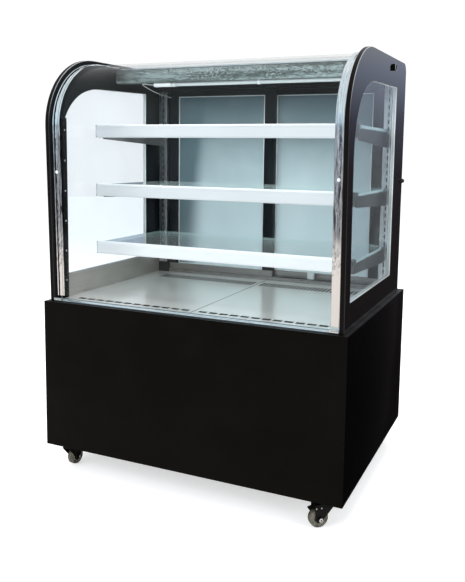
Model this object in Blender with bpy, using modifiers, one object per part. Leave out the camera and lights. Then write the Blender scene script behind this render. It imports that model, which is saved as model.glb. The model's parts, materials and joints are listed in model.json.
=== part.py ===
"""Refrigerated display showcase: a black base cabinet on casters that carries a
curved-glass case with three lit shelves and sliding rear doors.

Metres, +Z up. The front faces -Y and the service side faces +Y. The origin is on the
floor, under the centre of the base cabinet.
"""

import math

import bmesh
import bpy
from mathutils import Matrix, Vector

# ---------------------------------------------------------------- driving dimensions
WIDTH = 0.900
DEPTH = 0.680
CASTER_HEIGHT = 0.074
BASE_HEIGHT = 0.430
CASE_HEIGHT = 0.711  # from the base's top to the highest point of the end panels
BASE_TOP = CASTER_HEIGHT + BASE_HEIGHT
TOP = BASE_TOP + CASE_HEIGHT

GAP = 0.0003  # between neighbours that touch on the real object
SHEET = 0.0015  # folded sheet steel of the base

# End panels: an upright outline in Y and Z, the same on both sides.
END_OUTER_X = 0.437
END_THICK = 0.013
END_INNER_X = END_OUTER_X - END_THICK
END_FOOT_Y = -0.326
END_FRONT_Y = -0.3375
END_REAR_Y = 0.302
BEND_START_Z = BASE_TOP + 0.500
BEND_END = (-0.120, BASE_TOP + 0.7036)
BEND_HANDLES = (0.103, 0.131)
TOP_REAR_Y = 0.272
TOP_CORNER_RADIUS = 0.030

# The clear window in each end panel.
WINDOW_FRONT_Y = -0.281
WINDOW_BEND_Y = -0.287
WINDOW_REAR_Y = 0.177
WINDOW_BOTTOM_Z = BASE_TOP + 0.070
WINDOW_BEND_Z = BASE_TOP + 0.420
WINDOW_BEND_END = (-0.091, BASE_TOP + 0.620)
WINDOW_TOP_Z = BASE_TOP + 0.6285
WINDOW_HANDLES = (0.101, 0.140)

# Layers that follow the end panels' outline, as set-backs from it.
TRIM_SETBACK = 0.0120
TRIM_THICK = 0.0030
GLASS_SETBACK = TRIM_SETBACK + TRIM_THICK + GAP
GLASS_THICK = 0.006
GLASS_END_Y = -0.020
TRIM_WIDTH = 0.025
CASE_X = END_INNER_X - GAP  # half the width of what lies between the end panels

# Shelves, from the deck up.
SHELF_PITCH = 0.178
BAR_LOWEST_Z = BASE_TOP + 0.117
BAR_HEIGHT = 0.038
BAR_FRONT_Y = -0.141
BAR_REAR_Y = -0.116
SHELF_HALF_X = 0.4065
SHELF_THICK = 0.008
SHELF_BELOW_BAR_TOP = 0.003
SHELF_REAR_Y = 0.235
BRACKET_X = 0.3995
BRACKET_THICK = 0.004
BRACKET_FRONT_DEPTH = 0.031
BRACKET_REAR_DEPTH = 0.047

# Slotted standards in the rear corners.
STANDARD_FRONT_Y = 0.2515
STANDARD_HALF_X = 0.0155
SLOT_PITCH = SHELF_PITCH / 8

# Rear frame, track and sliding doors.
REAR_FRAME_FRONT_Y = 0.262
POST_INNER_X = 0.380
HEADER_Z = BASE_TOP + 0.646
TRACK_TOP_Z = BASE_TOP + 0.012
DOOR_THICK = 0.014
DOOR_INNER_Y = 0.2655  # front face of the left-hand door, in the inner track
DOOR_OUTER_Y = 0.2845  # front face of the right-hand door, in the outer track
DOOR_STILE = 0.036
DOOR_OVERLAP = 0.018
DOOR_BOTTOM_Z = BASE_TOP + 0.0135
DOOR_TOP_Z = HEADER_Z - 0.001
DOOR_GLASS_BOTTOM_Z = BASE_TOP + 0.036
DOOR_GLASS_TOP_Z = BASE_TOP + 0.625

# Casters.
CASTER_X = 0.396
CASTER_Y = 0.299
WHEEL_RADIUS = 0.025
WHEEL_WIDTH = 0.020
CASTER_TRAIL = 0.021
AXLE_RADIUS = 0.004
CHEEK_THICK = 0.0025
CHEEK_INNER = WHEEL_WIDTH / 2 + 0.001
CHEEK_OUTER = CHEEK_INNER + CHEEK_THICK
FORK_TOP_Z = 0.0625
CROWN_TOP_Z = 0.0620
BRAKE_PIN = (CASTER_TRAIL + 0.007, 0.0545)  # along the trail and up, in a caster's own frame
# The way each caster trails at rest, in degrees about +Z from +X.
CASTER_HEADINGS = {
    "front_left": 87.0,
    "front_right": 222.0,
    "rear_left": 35.0,
    "rear_right": 140.0,
}

COLLECTION = "display_showcase"
CUTTERS = "cutters"
ROUND = 24  # sides of an ordinary round piece


# ---------------------------------------------------------------- scene and materials
def start_clean():
    for old in list(bpy.data.objects):
        bpy.data.objects.remove(old, do_unlink=True)


def collection(name):
    found = bpy.data.collections.get(name)
    if found is None:
        found = bpy.data.collections.new(name)
        bpy.context.scene.collection.children.link(found)
    return found


def make_material(name, colour, roughness, metallic=0.0, transmission=0.0):
    material = bpy.data.materials.new(name)
    material.use_nodes = True
    shader = material.node_tree.nodes["Principled BSDF"]
    shader.inputs["Base Color"].default_value = (*colour, 1.0)
    shader.inputs["Roughness"].default_value = roughness
    shader.inputs["Metallic"].default_value = metallic
    shader.inputs["Transmission Weight"].default_value = transmission
    material.diffuse_color = (*colour, 1.0)
    return material


def make_materials():
    return {
        "base_front": make_material("base_front", (0.012, 0.010, 0.009), 0.45),
        "base_side": make_material("base_side", (0.006, 0.006, 0.007), 0.15),
        "zinc": make_material("zinc", (0.45, 0.46, 0.47), 0.40, 1.0),
        "black_glass": make_material("black_glass", (0.010, 0.010, 0.014), 0.08),
        "clear_glass": make_material("clear_glass", (0.90, 0.97, 0.97), 0.02, 0.0, 1.0),
        "chrome": make_material("chrome", (0.80, 0.81, 0.83), 0.06, 1.0),
        "aluminium": make_material("aluminium", (0.62, 0.64, 0.66), 0.28, 1.0),
        "stainless": make_material("stainless", (0.50, 0.50, 0.49), 0.30, 1.0),
        "frame_black": make_material("frame_black", (0.015, 0.016, 0.018), 0.35),
        "bracket_grey": make_material("bracket_grey", (0.10, 0.10, 0.11), 0.40, 0.6),
        "diffuser": make_material("diffuser", (0.92, 0.94, 0.95), 0.45),
        "lamp": make_material("lamp", (0.95, 0.97, 1.00), 0.30),
        "foam": make_material("foam", (0.70, 0.71, 0.72), 0.50),
        "cast_black": make_material("cast_black", (0.02, 0.02, 0.02), 0.50),
        "fin_metal": make_material("fin_metal", (0.55, 0.57, 0.58), 0.40, 1.0),
        "fork_black": make_material("fork_black", (0.012, 0.012, 0.012), 0.40),
        "wheel_grey": make_material("wheel_grey", (0.20, 0.19, 0.15), 0.45),
        "plastic_black": make_material("plastic_black", (0.02, 0.02, 0.02), 0.40),
        "button": make_material("button", (0.60, 0.61, 0.62), 0.45),
        "rocker_green": make_material("rocker_green", (0.02, 0.28, 0.08), 0.30),
        "rocker_red": make_material("rocker_red", (0.45, 0.02, 0.02), 0.30),
    }


# ---------------------------------------------------------------- shape helpers
def add_object(name, mesh, material, location=(0, 0, 0), turn=None):
    obj = bpy.data.objects.new(name, mesh)
    obj.location = location
    if turn is not None:
        obj.rotation_euler = turn.to_euler()
    collection(COLLECTION).objects.link(obj)
    if material is not None:
        obj.data.materials.clear()
        obj.data.materials.append(material)
    return obj


def as_cutter(obj):
    for owner in list(obj.users_collection):
        owner.objects.unlink(obj)
    collection(CUTTERS).objects.link(obj)
    obj.hide_render = True
    obj.display_type = "WIRE"
    return obj


def box(name, low, high, material=None):
    low, high = Vector(low), Vector(high)
    shape = bmesh.new()
    bmesh.ops.create_cube(shape, size=1.0)
    bmesh.ops.scale(shape, vec=high - low, verts=shape.verts)
    mesh = bpy.data.meshes.new(name)
    shape.to_mesh(mesh)
    shape.free()
    return add_object(name, mesh, material, (low + high) / 2)


def boxes(name, pairs):
    """One mesh of many boxes, each a (low, high) pair, for cutting rows of slots."""
    shape = bmesh.new()
    for low, high in pairs:
        low, high = Vector(low), Vector(high)
        size = Matrix.Diagonal((*(high - low), 1.0))
        bmesh.ops.create_cube(shape, size=1.0, matrix=Matrix.Translation((low + high) / 2) @ size)
    mesh = bpy.data.meshes.new(name)
    shape.to_mesh(mesh)
    shape.free()
    return add_object(name, mesh, None)


def rod(name, start, end, radius, material=None, sides=ROUND, end_radius=None):
    """A cylinder, or a cone where end_radius is given, from start to end."""
    start, end = Vector(start), Vector(end)
    shape = bmesh.new()
    bmesh.ops.create_cone(
        shape,
        cap_ends=True,
        segments=sides,
        radius1=radius,
        radius2=radius if end_radius is None else end_radius,
        depth=(end - start).length,
    )
    mesh = bpy.data.meshes.new(name)
    shape.to_mesh(mesh)
    shape.free()
    turn = Vector((0, 0, 1)).rotation_difference(end - start)
    obj = add_object(name, mesh, material, (start + end) / 2, turn)
    mesh.shade_smooth()
    mesh.set_sharp_from_angle(angle=math.radians(35))
    return obj


def turned(name, profile, centre, axis, material=None, sides=ROUND):
    """A closed (radius, height) profile turned about an axis through centre.

    The profile's outer side runs from the highest point down.
    """
    mesh = bpy.data.meshes.new(name)
    points = [(radius, 0.0, height) for radius, height in profile]
    edges = [(i, (i + 1) % len(points)) for i in range(len(points))]
    mesh.from_pydata(points, edges, [])
    turn = Vector((0, 0, 1)).rotation_difference(Vector(axis))
    obj = add_object(name, mesh, material, centre, turn)
    screw = obj.modifiers.new("turn", "SCREW")
    screw.axis = "Z"
    screw.steps = sides
    screw.render_steps = sides
    screw.use_merge_vertices = True
    screw.merge_threshold = 0.00001
    screw.use_smooth_shade = True
    return made_real(obj)


def made_real(obj):
    """The object with its modifiers, or its curve, turned into a plain closed mesh."""
    bpy.context.view_layer.update()
    graph = bpy.context.evaluated_depsgraph_get()
    mesh = bpy.data.meshes.new_from_object(obj.evaluated_get(graph))
    shape = bmesh.new()
    shape.from_mesh(mesh)
    bmesh.ops.remove_doubles(shape, verts=shape.verts, dist=0.000002)
    bmesh.ops.recalc_face_normals(shape, faces=shape.faces)
    shape.to_mesh(mesh)
    shape.free()
    materials = list(obj.data.materials)
    place = obj.matrix_world.copy()
    name, groups = obj.name, list(obj.users_collection)
    bpy.data.objects.remove(obj, do_unlink=True)
    solid = bpy.data.objects.new(name, mesh)
    mesh.name = name
    mesh.materials.clear()
    for material in materials:
        mesh.materials.append(material)
    for group in groups:
        group.objects.link(solid)
    solid.matrix_world = place
    return solid


# Turns a flat outline's own x, y and normal into the world axes it is drawn on.
OUTLINE_TURN = {
    "x": Matrix(((0, 0, 1), (1, 0, 0), (0, 1, 0))),
    "y": Matrix(((1, 0, 0), (0, 0, -1), (0, 1, 0))),
    "z": Matrix.Identity(3),
}
AXES = {"x": Vector((1, 0, 0)), "y": Vector((0, 1, 0)), "z": Vector((0, 0, 1))}


def flat_curve(name, loops, cyclic=True):
    curve = bpy.data.curves.new(name, "CURVE")
    curve.dimensions = "2D"
    for loop in loops:
        spline = curve.splines.new("POLY")
        spline.points.add(len(loop) - 1)
        for point, (across, up) in zip(spline.points, loop):
            point.co = (across, up, 0.0, 1.0)
        spline.use_cyclic_u = cyclic
    return curve


def extrusion(name, loops, axis, low, high, material=None):
    """A flat outline, with any inner loops as holes, extruded along axis from low to high."""
    curve = flat_curve(name, loops)
    curve.fill_mode = "BOTH"
    curve.extrude = (high - low) / 2
    obj = add_object(name, curve, material, AXES[axis] * (low + high) / 2, OUTLINE_TURN[axis])
    return made_real(obj)


def combine(target, others, operation):
    for other in others:
        step = target.modifiers.new(operation.lower(), "BOOLEAN")
        step.operation = operation
        step.solver = "EXACT"
        step.object = other
        target = made_real(target)
        bpy.data.objects.remove(other, do_unlink=True)
    return target


def cut(target, *cutters):
    return combine(target, [as_cutter(cutter) for cutter in cutters], "DIFFERENCE")


def join(target, *others):
    return combine(target, others, "UNION")


def rectangle(low_u, low_v, high_u, high_v):
    return [(low_u, low_v), (high_u, low_v), (high_u, high_v), (low_u, high_v)]


def arc(centre, radius, start_deg, end_deg, steps):
    """Points on an arc, both ends included."""
    points = []
    for i in range(steps + 1):
        angle = math.radians(start_deg + (end_deg - start_deg) * i / steps)
        points.append((centre[0] + radius * math.cos(angle), centre[1] + radius * math.sin(angle)))
    return points


def bend(start, start_handle, end_handle, end, steps):
    """Points along a Bezier bend, both ends included."""
    points = []
    for i in range(steps + 1):
        t = i / steps
        weights = ((1 - t) ** 3, 3 * (1 - t) ** 2 * t, 3 * (1 - t) * t * t, t**3)
        parts = (start, start_handle, end_handle, end)
        points.append(tuple(sum(w * p[k] for w, p in zip(weights, parts)) for k in (0, 1)))
    return points


def at_y(line, y):
    """The line cut short at the given y, which it crosses once."""
    kept = []
    for point, following in zip(line, line[1:]):
        kept.append(point)
        if point[0] < y <= following[0]:
            part = (y - point[0]) / (following[0] - point[0])
            kept.append((y, point[1] + part * (following[1] - point[1])))
            return kept
    return line


def set_back(line, distance):
    """The line moved to its right-hand side by distance."""
    moved = []
    for i, point in enumerate(line):
        before = Vector(line[max(i - 1, 0)])
        after = Vector(line[min(i + 1, len(line) - 1)])
        along = (after - before).normalized()
        moved.append((point[0] + along.y * distance, point[1] - along.x * distance))
    return moved


def mirrored(name, side):
    return f"{name}_{'left' if side < 0 else 'right'}"


def span_x(side, inner, outer):
    """Low and high x of a slab between two distances from the middle, on one side."""
    return (inner, outer) if side > 0 else (-outer, -inner)


# ---------------------------------------------------------------- the case's outline
def front_line():
    """Front and top edge of an end panel, from its foot up and over to the rear corner."""
    foot = (END_FOOT_Y, BASE_TOP + GAP)
    start = (END_FRONT_Y, BEND_START_Z)
    top_rear = (TOP_REAR_Y, TOP)
    slope = (Vector(top_rear) - Vector(BEND_END)).normalized()
    start_handle = (start[0], start[1] + BEND_HANDLES[0])
    end_handle = (BEND_END[0] - slope.x * BEND_HANDLES[1], BEND_END[1] - slope.y * BEND_HANDLES[1])
    return [foot, *bend(start, start_handle, end_handle, BEND_END, 14), top_rear]


def end_outline():
    corner = (TOP_REAR_Y, TOP - TOP_CORNER_RADIUS)
    rear_top = arc(corner, TOP_CORNER_RADIUS, 90, 0, 5)
    return [*front_line()[:-1], *rear_top, (END_REAR_Y, BASE_TOP + GAP)]


def window_outline(grow=0.0):
    start = (WINDOW_BEND_Y, WINDOW_BEND_Z)
    start_handle = (start[0], start[1] + WINDOW_HANDLES[0])
    end_handle = (WINDOW_BEND_END[0] - WINDOW_HANDLES[1], WINDOW_BEND_END[1] - 0.004)
    line = [
        (WINDOW_REAR_Y, WINDOW_BOTTOM_Z),
        (WINDOW_FRONT_Y, WINDOW_BOTTOM_Z),
        *bend(start, start_handle, end_handle, WINDOW_BEND_END, 10),
        (WINDOW_REAR_Y, WINDOW_TOP_Z),
    ]
    closed = [line[-1], *line, line[0]]
    return set_back(closed, grow)[1:-1] if grow else line


# ---------------------------------------------------------------- base cabinet
def bottom_pan(mats):
    low = (-WIDTH / 2 + 0.002, -DEPTH / 2 + 0.002, CASTER_HEIGHT)
    high = (WIDTH / 2 - 0.002, DEPTH / 2 - 0.006, CASTER_HEIGHT + 0.022)
    pan = box("bottom_pan", low, high, mats["zinc"])
    hollow_low = (low[0] + SHEET, low[1] + SHEET, low[2] + SHEET)
    hollow_high = (high[0] - SHEET, high[1] - SHEET, high[2] + 0.010)
    pan = cut(pan, box("pan_hollow", hollow_low, hollow_high))
    half = 0.030
    for x in (-CASTER_X, CASTER_X):
        for y in (-CASTER_Y, CASTER_Y):
            plate = box("plate", (x - half, y - half, 0.071), (x + half, y + half, 0.0745))
            race = rod("race", (x, y, 0.063), (x, y, 0.072), 0.017)
            pan = join(pan, plate, race)
    return pan


def base_panels(mats):
    front = -DEPTH / 2
    box(
        "base_front_panel",
        (-WIDTH / 2, front, CASTER_HEIGHT),
        (WIDTH / 2, front + SHEET, BASE_TOP),
        mats["base_front"],
    )
    for side in (-1, 1):
        low_x, high_x = span_x(side, WIDTH / 2 - SHEET, WIDTH / 2)
        box(
            mirrored("base_side_panel", side),
            (low_x, front + SHEET + GAP, CASTER_HEIGHT),
            (high_x, DEPTH / 2, BASE_TOP),
            mats["base_side"],
        )


REAR_PANEL_Y = DEPTH / 2 - 0.004  # outer face, so that what stands out stays in the depth
THERMOSTAT_X, THERMOSTAT_Z = 0.270, BASE_TOP - 0.060
THERMOSTAT_HALF = (0.0355, 0.0145)  # half width and half height behind the bezel
BUTTON_X = {"button_down": THERMOSTAT_X + 0.014, "button_up": THERMOSTAT_X + 0.026}
SWITCH_X = {"light_switch": 0.165, "power_switch": 0.125}
SWITCH_HALF = (0.0065, 0.0100)
CUTOUT_GAP = 0.0004  # around the thermostat
ROCKER_GAP = (0.0006, 0.0010)  # beside and above a rocker, which needs room to turn
GLAND_X, GLAND_Z = -0.380, CASTER_HEIGHT + 0.060


def rear_panel(mats):
    inner_y = REAR_PANEL_Y - SHEET
    low = (-WIDTH / 2 + SHEET + GAP, inner_y, CASTER_HEIGHT)
    high = (WIDTH / 2 - SHEET - GAP, REAR_PANEL_Y, BASE_TOP)
    panel = box("rear_service_panel", low, high, mats["base_side"])
    through = (inner_y - 0.005, REAR_PANEL_Y + 0.005)
    openings = []
    for row in range(9):
        z = CASTER_HEIGHT + 0.110 + row * 0.020
        for x in (-0.200, 0.060):
            openings.append(((x, through[0], z), (x + 0.220, through[1], z + 0.008)))
    half_x, half_z = (half + CUTOUT_GAP for half in THERMOSTAT_HALF)
    openings.append(
        (
            (THERMOSTAT_X - half_x, through[0], THERMOSTAT_Z - half_z),
            (THERMOSTAT_X + half_x, through[1], THERMOSTAT_Z + half_z),
        )
    )
    half_x, half_z = (half + gap for half, gap in zip(SWITCH_HALF, ROCKER_GAP))
    for x in SWITCH_X.values():
        openings.append(
            (
                (x - half_x, through[0], THERMOSTAT_Z - half_z),
                (x + half_x, through[1], THERMOSTAT_Z + half_z),
            )
        )
    hole = rod("gland_hole", (GLAND_X, through[0], GLAND_Z), (GLAND_X, through[1], GLAND_Z), 0.0085)
    return cut(panel, boxes("rear_openings", openings), hole)


def thermostat(mats):
    x, z = THERMOSTAT_X, THERMOSTAT_Z
    half_x, half_z = THERMOSTAT_HALF
    face = REAR_PANEL_Y + 0.0030
    body = box(
        "thermostat",
        (x - half_x, 0.285, z - half_z),
        (x + half_x, REAR_PANEL_Y + 0.001, z + half_z),
        mats["plastic_black"],
    )
    bezel_low = (x - half_x - 0.003, REAR_PANEL_Y + GAP, z - half_z - 0.003)
    body = join(body, box("bezel", bezel_low, (x + half_x + 0.003, face, z + half_z + 0.003)))
    pockets = [
        ((button_x - 0.0046, face - 0.004, z - 0.0101), (button_x + 0.0046, face + 0.002, z - 0.0019))
        for button_x in BUTTON_X.values()
    ]
    body = cut(body, boxes("button_pockets", pockets))
    for name, button_x in BUTTON_X.items():
        box(
            name,
            (button_x - 0.0042, face - 0.0026, z - 0.0097),
            (button_x + 0.0042, face + 0.0008, z - 0.0023),
            mats["button"],
        )
    return body


def rocker_switches(mats):
    """Each rocker is a block with a dished face; it turns about X through its middle."""
    half_x, half_z = SWITCH_HALF
    for name, x in SWITCH_X.items():
        y = REAR_PANEL_Y
        profile = [
            (y - 0.008, -half_z * 0.75),
            (y + 0.0032, -half_z),
            (y + 0.0012, 0.0),
            (y - 0.0002, half_z),
            (y - 0.008, half_z * 0.75),
        ]
        outline = [(u, THERMOSTAT_Z + v) for u, v in profile]
        colour = mats["rocker_green"] if name == "light_switch" else mats["rocker_red"]
        extrusion(name, [outline], "x", x - half_x, x + half_x, colour)


def power_gland(mats):
    """A cable gland: nut inside, flange and dome outside, and a bore for the supply cord."""
    start = REAR_PANEL_Y - SHEET
    profile = [
        (0.0070, REAR_PANEL_Y + 0.0036),
        (0.0100, REAR_PANEL_Y + 0.0030),
        (0.0110, REAR_PANEL_Y + GAP),
        (0.0080, REAR_PANEL_Y + GAP),
        (0.0080, start - GAP),
        (0.0115, start - GAP),
        (0.0115, start - 0.006),
        (0.0080, start - 0.006),
        (0.0080, start - 0.018),
        (0.0045, start - 0.018),
        (0.0045, REAR_PANEL_Y + 0.0036),
    ]
    return turned("power_gland", profile, (GLAND_X, 0, GLAND_Z), (0, 1, 0), mats["plastic_black"])


WELL_OUTER = (0.415, -0.305, 0.275)  # half width, front and rear
WELL_WALL = 0.025
WELL_BOTTOM_Z = BASE_TOP - 0.150


def cold_well(mats):
    """The insulated tub under the deck, and the flange that carries the glass case."""
    half_x, front, rear = WELL_OUTER
    edge_x = WIDTH / 2 - SHEET - GAP
    edge_y = DEPTH / 2 - SHEET - GAP
    well = box(
        "cold_well",
        (-edge_x, -edge_y, BASE_TOP - 0.003),
        (edge_x, REAR_PANEL_Y - SHEET - GAP, BASE_TOP),
        mats["foam"],
    )
    tub = box("tub", (-half_x, front, WELL_BOTTOM_Z), (half_x, rear, BASE_TOP - 0.001))
    hollow = box(
        "tub_hollow",
        (-half_x + WELL_WALL, front + WELL_WALL, WELL_BOTTOM_Z + WELL_WALL),
        (half_x - WELL_WALL, rear - WELL_WALL, BASE_TOP + 0.010),
    )
    return cut(join(well, tub), hollow)


# ---------------------------------------------------------------- refrigeration
def compressor(mats):
    x, y = -0.250, 0.060
    floor = CASTER_HEIGHT + SHEET + GAP
    profile = [
        (0.0005, 0.190),
        (0.040, 0.184),
        (0.066, 0.160),
        (0.075, 0.120),
        (0.075, 0.060),
        (0.062, 0.022),
        (0.040, 0.010),
        (0.0005, 0.008),
    ]
    shell = turned("compressor", profile, (x, y, floor), (0, 0, 1), mats["cast_black"])
    shell = join(shell, rod("core", (x, y, floor + 0.0075), (x, y, floor + 0.1895), 0.004))
    feet = box("feet", (x - 0.090, y - 0.060, floor), (x + 0.090, y + 0.060, floor + 0.012))
    return join(shell, feet)


FAN_CENTRE = {
    "condenser_fan": (0.130, 0.2180, CASTER_HEIGHT + 0.135),
    "evaporator_fan": (0.000, -0.1500, BASE_TOP - 0.066),
}


def condenser(mats):
    """Finned coil with a shroud ring and a motor on a bar, which the fan turns on."""
    x, y, z = FAN_CENTRE["condenser_fan"]
    floor = CASTER_HEIGHT + SHEET + GAP
    coil_low, coil_high = (x - 0.120, y - 0.150, floor), (x + 0.120, y - 0.090, z + 0.120)
    coil = box("condenser", coil_low, coil_high, mats["fin_metal"])
    shroud = box("shroud", (x - 0.115, y - 0.0905, floor), (x + 0.115, y + 0.020, z + 0.115))
    throat = rod("throat", (x, y - 0.0895, z), (x, y + 0.030, z), 0.100, sides=36)
    shroud = cut(shroud, throat)
    bar = box("bar", (x - 0.104, y - 0.078, z - 0.010), (x + 0.104, y - 0.070, z + 0.010))
    motor = rod("motor", (x, y - 0.076, z), (x, y - 0.022, z), 0.028)
    shaft = rod("shaft", (x, y - 0.024, z), (x, y + 0.004, z), 0.003, sides=12)
    return join(coil, shroud, bar, motor, shaft)


def evaporator(mats):
    """Finned coil in the cold well, with its fan's motor in front on a bracket."""
    x, y, z = FAN_CENTRE["evaporator_fan"]
    floor = WELL_BOTTOM_Z + WELL_WALL + GAP
    coil = box("evaporator", (-0.300, -0.040, floor), (0.300, 0.080, BASE_TOP - 0.030), mats["fin_metal"])
    bracket = box("bracket", (x - 0.010, -0.100, floor), (x + 0.010, -0.039, z - 0.012))
    motor = rod("motor", (x, -0.100, z), (x, -0.060, z), 0.018)
    post = box("post", (x - 0.006, -0.090, floor), (x + 0.006, -0.070, z))
    shaft = rod("shaft", (x, y - 0.004, z), (x, -0.099, z), 0.0025, sides=12)
    return join(coil, bracket, post, motor, shaft)


def fan(name, blade_radius, bore, depth, mats):
    """A hub and five pitched blades on the motor's shaft; it turns about Y."""
    x, y, z = FAN_CENTRE[name]
    hub_radius = blade_radius * 0.24
    hub = rod(name, (0, -depth / 2, 0), (0, depth / 2, 0), hub_radius, mats["plastic_black"], 20)
    for i in range(5):
        turn = Matrix.Rotation(math.tau * i / 5, 4, "Y")
        pitch = Matrix.Rotation(math.radians(28), 4, "Z")
        shift = Matrix.Translation((0, 0, (hub_radius + blade_radius) / 2 - 0.001))
        length = blade_radius - hub_radius + 0.002
        size = Matrix.Diagonal((blade_radius * 0.55, 0.002, length, 1.0))
        shape = bmesh.new()
        bmesh.ops.create_cube(shape, size=1.0, matrix=turn @ shift @ pitch @ size)
        mesh = bpy.data.meshes.new("blade")
        shape.to_mesh(mesh)
        shape.free()
        hub = join(hub, add_object("blade", mesh, None))
    hub = cut(hub, rod("bore", (0, -depth, 0), (0, depth, 0), bore, sides=12))
    hub.location = (x, y, z)
    return hub


# ---------------------------------------------------------------- casters
def caster_place(corner):
    """The frame of a caster: its pivot on the floor, with +X along its trail."""
    x = CASTER_X if corner.endswith("right") else -CASTER_X
    y = CASTER_Y if corner.startswith("rear") else -CASTER_Y
    turn = Matrix.Rotation(math.radians(CASTER_HEADINGS[corner]), 4, "Z")
    return Matrix.Translation((x, y, 0)) @ turn


def cheek_outline(braked):
    axle = (CASTER_TRAIL, WHEEL_RADIUS)
    rear_foot = (CASTER_TRAIL + 0.0100, WHEEL_RADIUS)
    if braked:
        rear = [(CASTER_TRAIL + 0.0140, 0.0500), (CASTER_TRAIL + 0.0140, CROWN_TOP_Z)]
    else:
        rear = [(CASTER_TRAIL + 0.0070, 0.0560), (CASTER_TRAIL + 0.0070, CROWN_TOP_Z)]
    return [(-0.0190, CROWN_TOP_Z), (-0.0190, 0.0570), *arc(axle, 0.0100, 200, 350, 7), rear_foot, *rear]


def caster_fork(corner, mats):
    braked = corner.startswith("front")
    outline = cheek_outline(braked)
    name = f"caster_fork_{corner}"
    fork = extrusion(name, [outline], "y", CHEEK_INNER, CHEEK_OUTER, mats["fork_black"])
    other = extrusion("cheek", [outline], "y", -CHEEK_OUTER, -CHEEK_INNER)
    rear_x = outline[-1][0]
    crown_half = CHEEK_OUTER - 0.001
    crown = box("crown", (-0.018, -crown_half, 0.0590), (rear_x - 0.001, crown_half, 0.0618))
    disc = rod("disc", (0, 0, 0.0594), (0, 0, FORK_TOP_Z), 0.0200)
    reach = CHEEK_OUTER + 0.0030
    ends = ((CASTER_TRAIL, -reach, WHEEL_RADIUS), (CASTER_TRAIL, reach, WHEEL_RADIUS))
    axle = rod("axle", *ends, AXLE_RADIUS)
    nuts = []
    for side in (-1, 1):
        ends = (side * (CHEEK_OUTER - 0.0005), side * reach)
        points = [(CASTER_TRAIL, end, WHEEL_RADIUS) for end in sorted(ends)]
        nuts.append(rod("nut", points[0], points[1], 0.0062, sides=6))
    fork = join(fork, other, crown, disc, axle, *nuts)
    if braked:
        along, up = BRAKE_PIN
        reach = CHEEK_OUTER + 0.0015
        fork = join(fork, rod("pin", (along, -reach, up), (along, reach, up), 0.0018, sides=16))
    return fork


def caster_wheel(corner, mats):
    half = WHEEL_WIDTH / 2
    bore = AXLE_RADIUS + 0.0004
    profile = [
        (WHEEL_RADIUS - 0.0025, half),
        (WHEEL_RADIUS, half - 0.004),
        (WHEEL_RADIUS, -half + 0.004),
        (WHEEL_RADIUS - 0.0025, -half),
        (0.0115, -half),
        (bore, -half + 0.001),
        (bore, half - 0.001),
        (0.0115, half),
    ]
    centre = (CASTER_TRAIL, 0, WHEEL_RADIUS)
    return turned(f"caster_wheel_{corner}", profile, centre, (0, 1, 0), mats["wheel_grey"])


def brake_pedal(corner, mats):
    along, up = BRAKE_PIN
    half = WHEEL_WIDTH / 2
    ends = ((along, -half, up), (along, half, up))
    hub = rod(f"brake_pedal_{corner}", *ends, 0.0034, mats["fork_black"], 16)
    outline = [
        (along, up - 0.0020),
        (along + 0.0190, up - 0.0055),
        (along + 0.0195, up - 0.0025),
        (along, up + 0.0026),
    ]
    hub = join(hub, extrusion("tongue", [outline], "y", -0.0085, 0.0085))
    return cut(hub, rod("bore", (along, -0.02, up), (along, 0.02, up), 0.0022, sides=16))


def caster(corner, mats):
    place = caster_place(corner)
    pieces = [caster_fork(corner, mats), caster_wheel(corner, mats)]
    if corner.startswith("front"):
        pieces.append(brake_pedal(corner, mats))
    for piece in pieces:
        piece.matrix_world = place @ piece.matrix_world


# ---------------------------------------------------------------- end panels and glass
def end_panels(mats):
    for side in (-1, 1):
        low, high = span_x(side, END_INNER_X, END_OUTER_X)
        loops = [end_outline(), window_outline()]
        extrusion(mirrored("end_panel", side), loops, "x", low, high, mats["black_glass"])
        pane = [window_outline(GAP)]
        extrusion(mirrored("end_window", side), pane, "x", low + 0.003, high - 0.003, mats["clear_glass"])


def glass_line(distance):
    """The glass's side view at a set-back, from the sill to the roof panel."""
    return at_y(set_back(front_line(), distance), GLASS_END_Y)


def front_glass(mats):
    outer = glass_line(GLASS_SETBACK)
    inner = glass_line(GLASS_SETBACK + GLASS_THICK)
    foot_z = BASE_TOP + 0.004
    outer[0] = (outer[0][0], foot_z)
    inner[0] = (inner[0][0], foot_z)
    return extrusion("front_glass", [[*outer, *reversed(inner)]], "x", -CASE_X, CASE_X, mats["clear_glass"])


def chrome_trims(mats):
    """A crowned strip over each side edge of the curved glass."""
    section_obj = add_object("trim_section", flat_curve("trim_section", [trim_section()]), None)
    for side in (-1, 1):
        low, high = span_x(side, CASE_X - TRIM_WIDTH, CASE_X)
        line = glass_line(TRIM_SETBACK + TRIM_THICK)
        line[0] = (line[0][0], BASE_TOP + 0.0150)
        curve = flat_curve("trim", [line], cyclic=False)
        curve.bevel_mode = "OBJECT"
        curve.bevel_object = section_obj
        curve.use_fill_caps = True
        place = ((low + high) / 2, 0, 0)
        name = mirrored("chrome_trim", side)
        made_real(add_object(name, curve, mats["chrome"], place, OUTLINE_TURN["x"]))
    bpy.data.objects.remove(section_obj, do_unlink=True)


def trim_section():
    """The trim's crowned section: out from the glass, and across its width."""
    half = TRIM_WIDTH / 2
    crown = []
    for part in (-1, -0.6, -0.2, 0.2, 0.6, 1):
        height = TRIM_THICK * (0.45 + 0.55 * math.cos(part * math.pi / 2))
        crown.append((-height, part * half))
    return [(0.0, -half), *crown, (0.0, half)]


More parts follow.
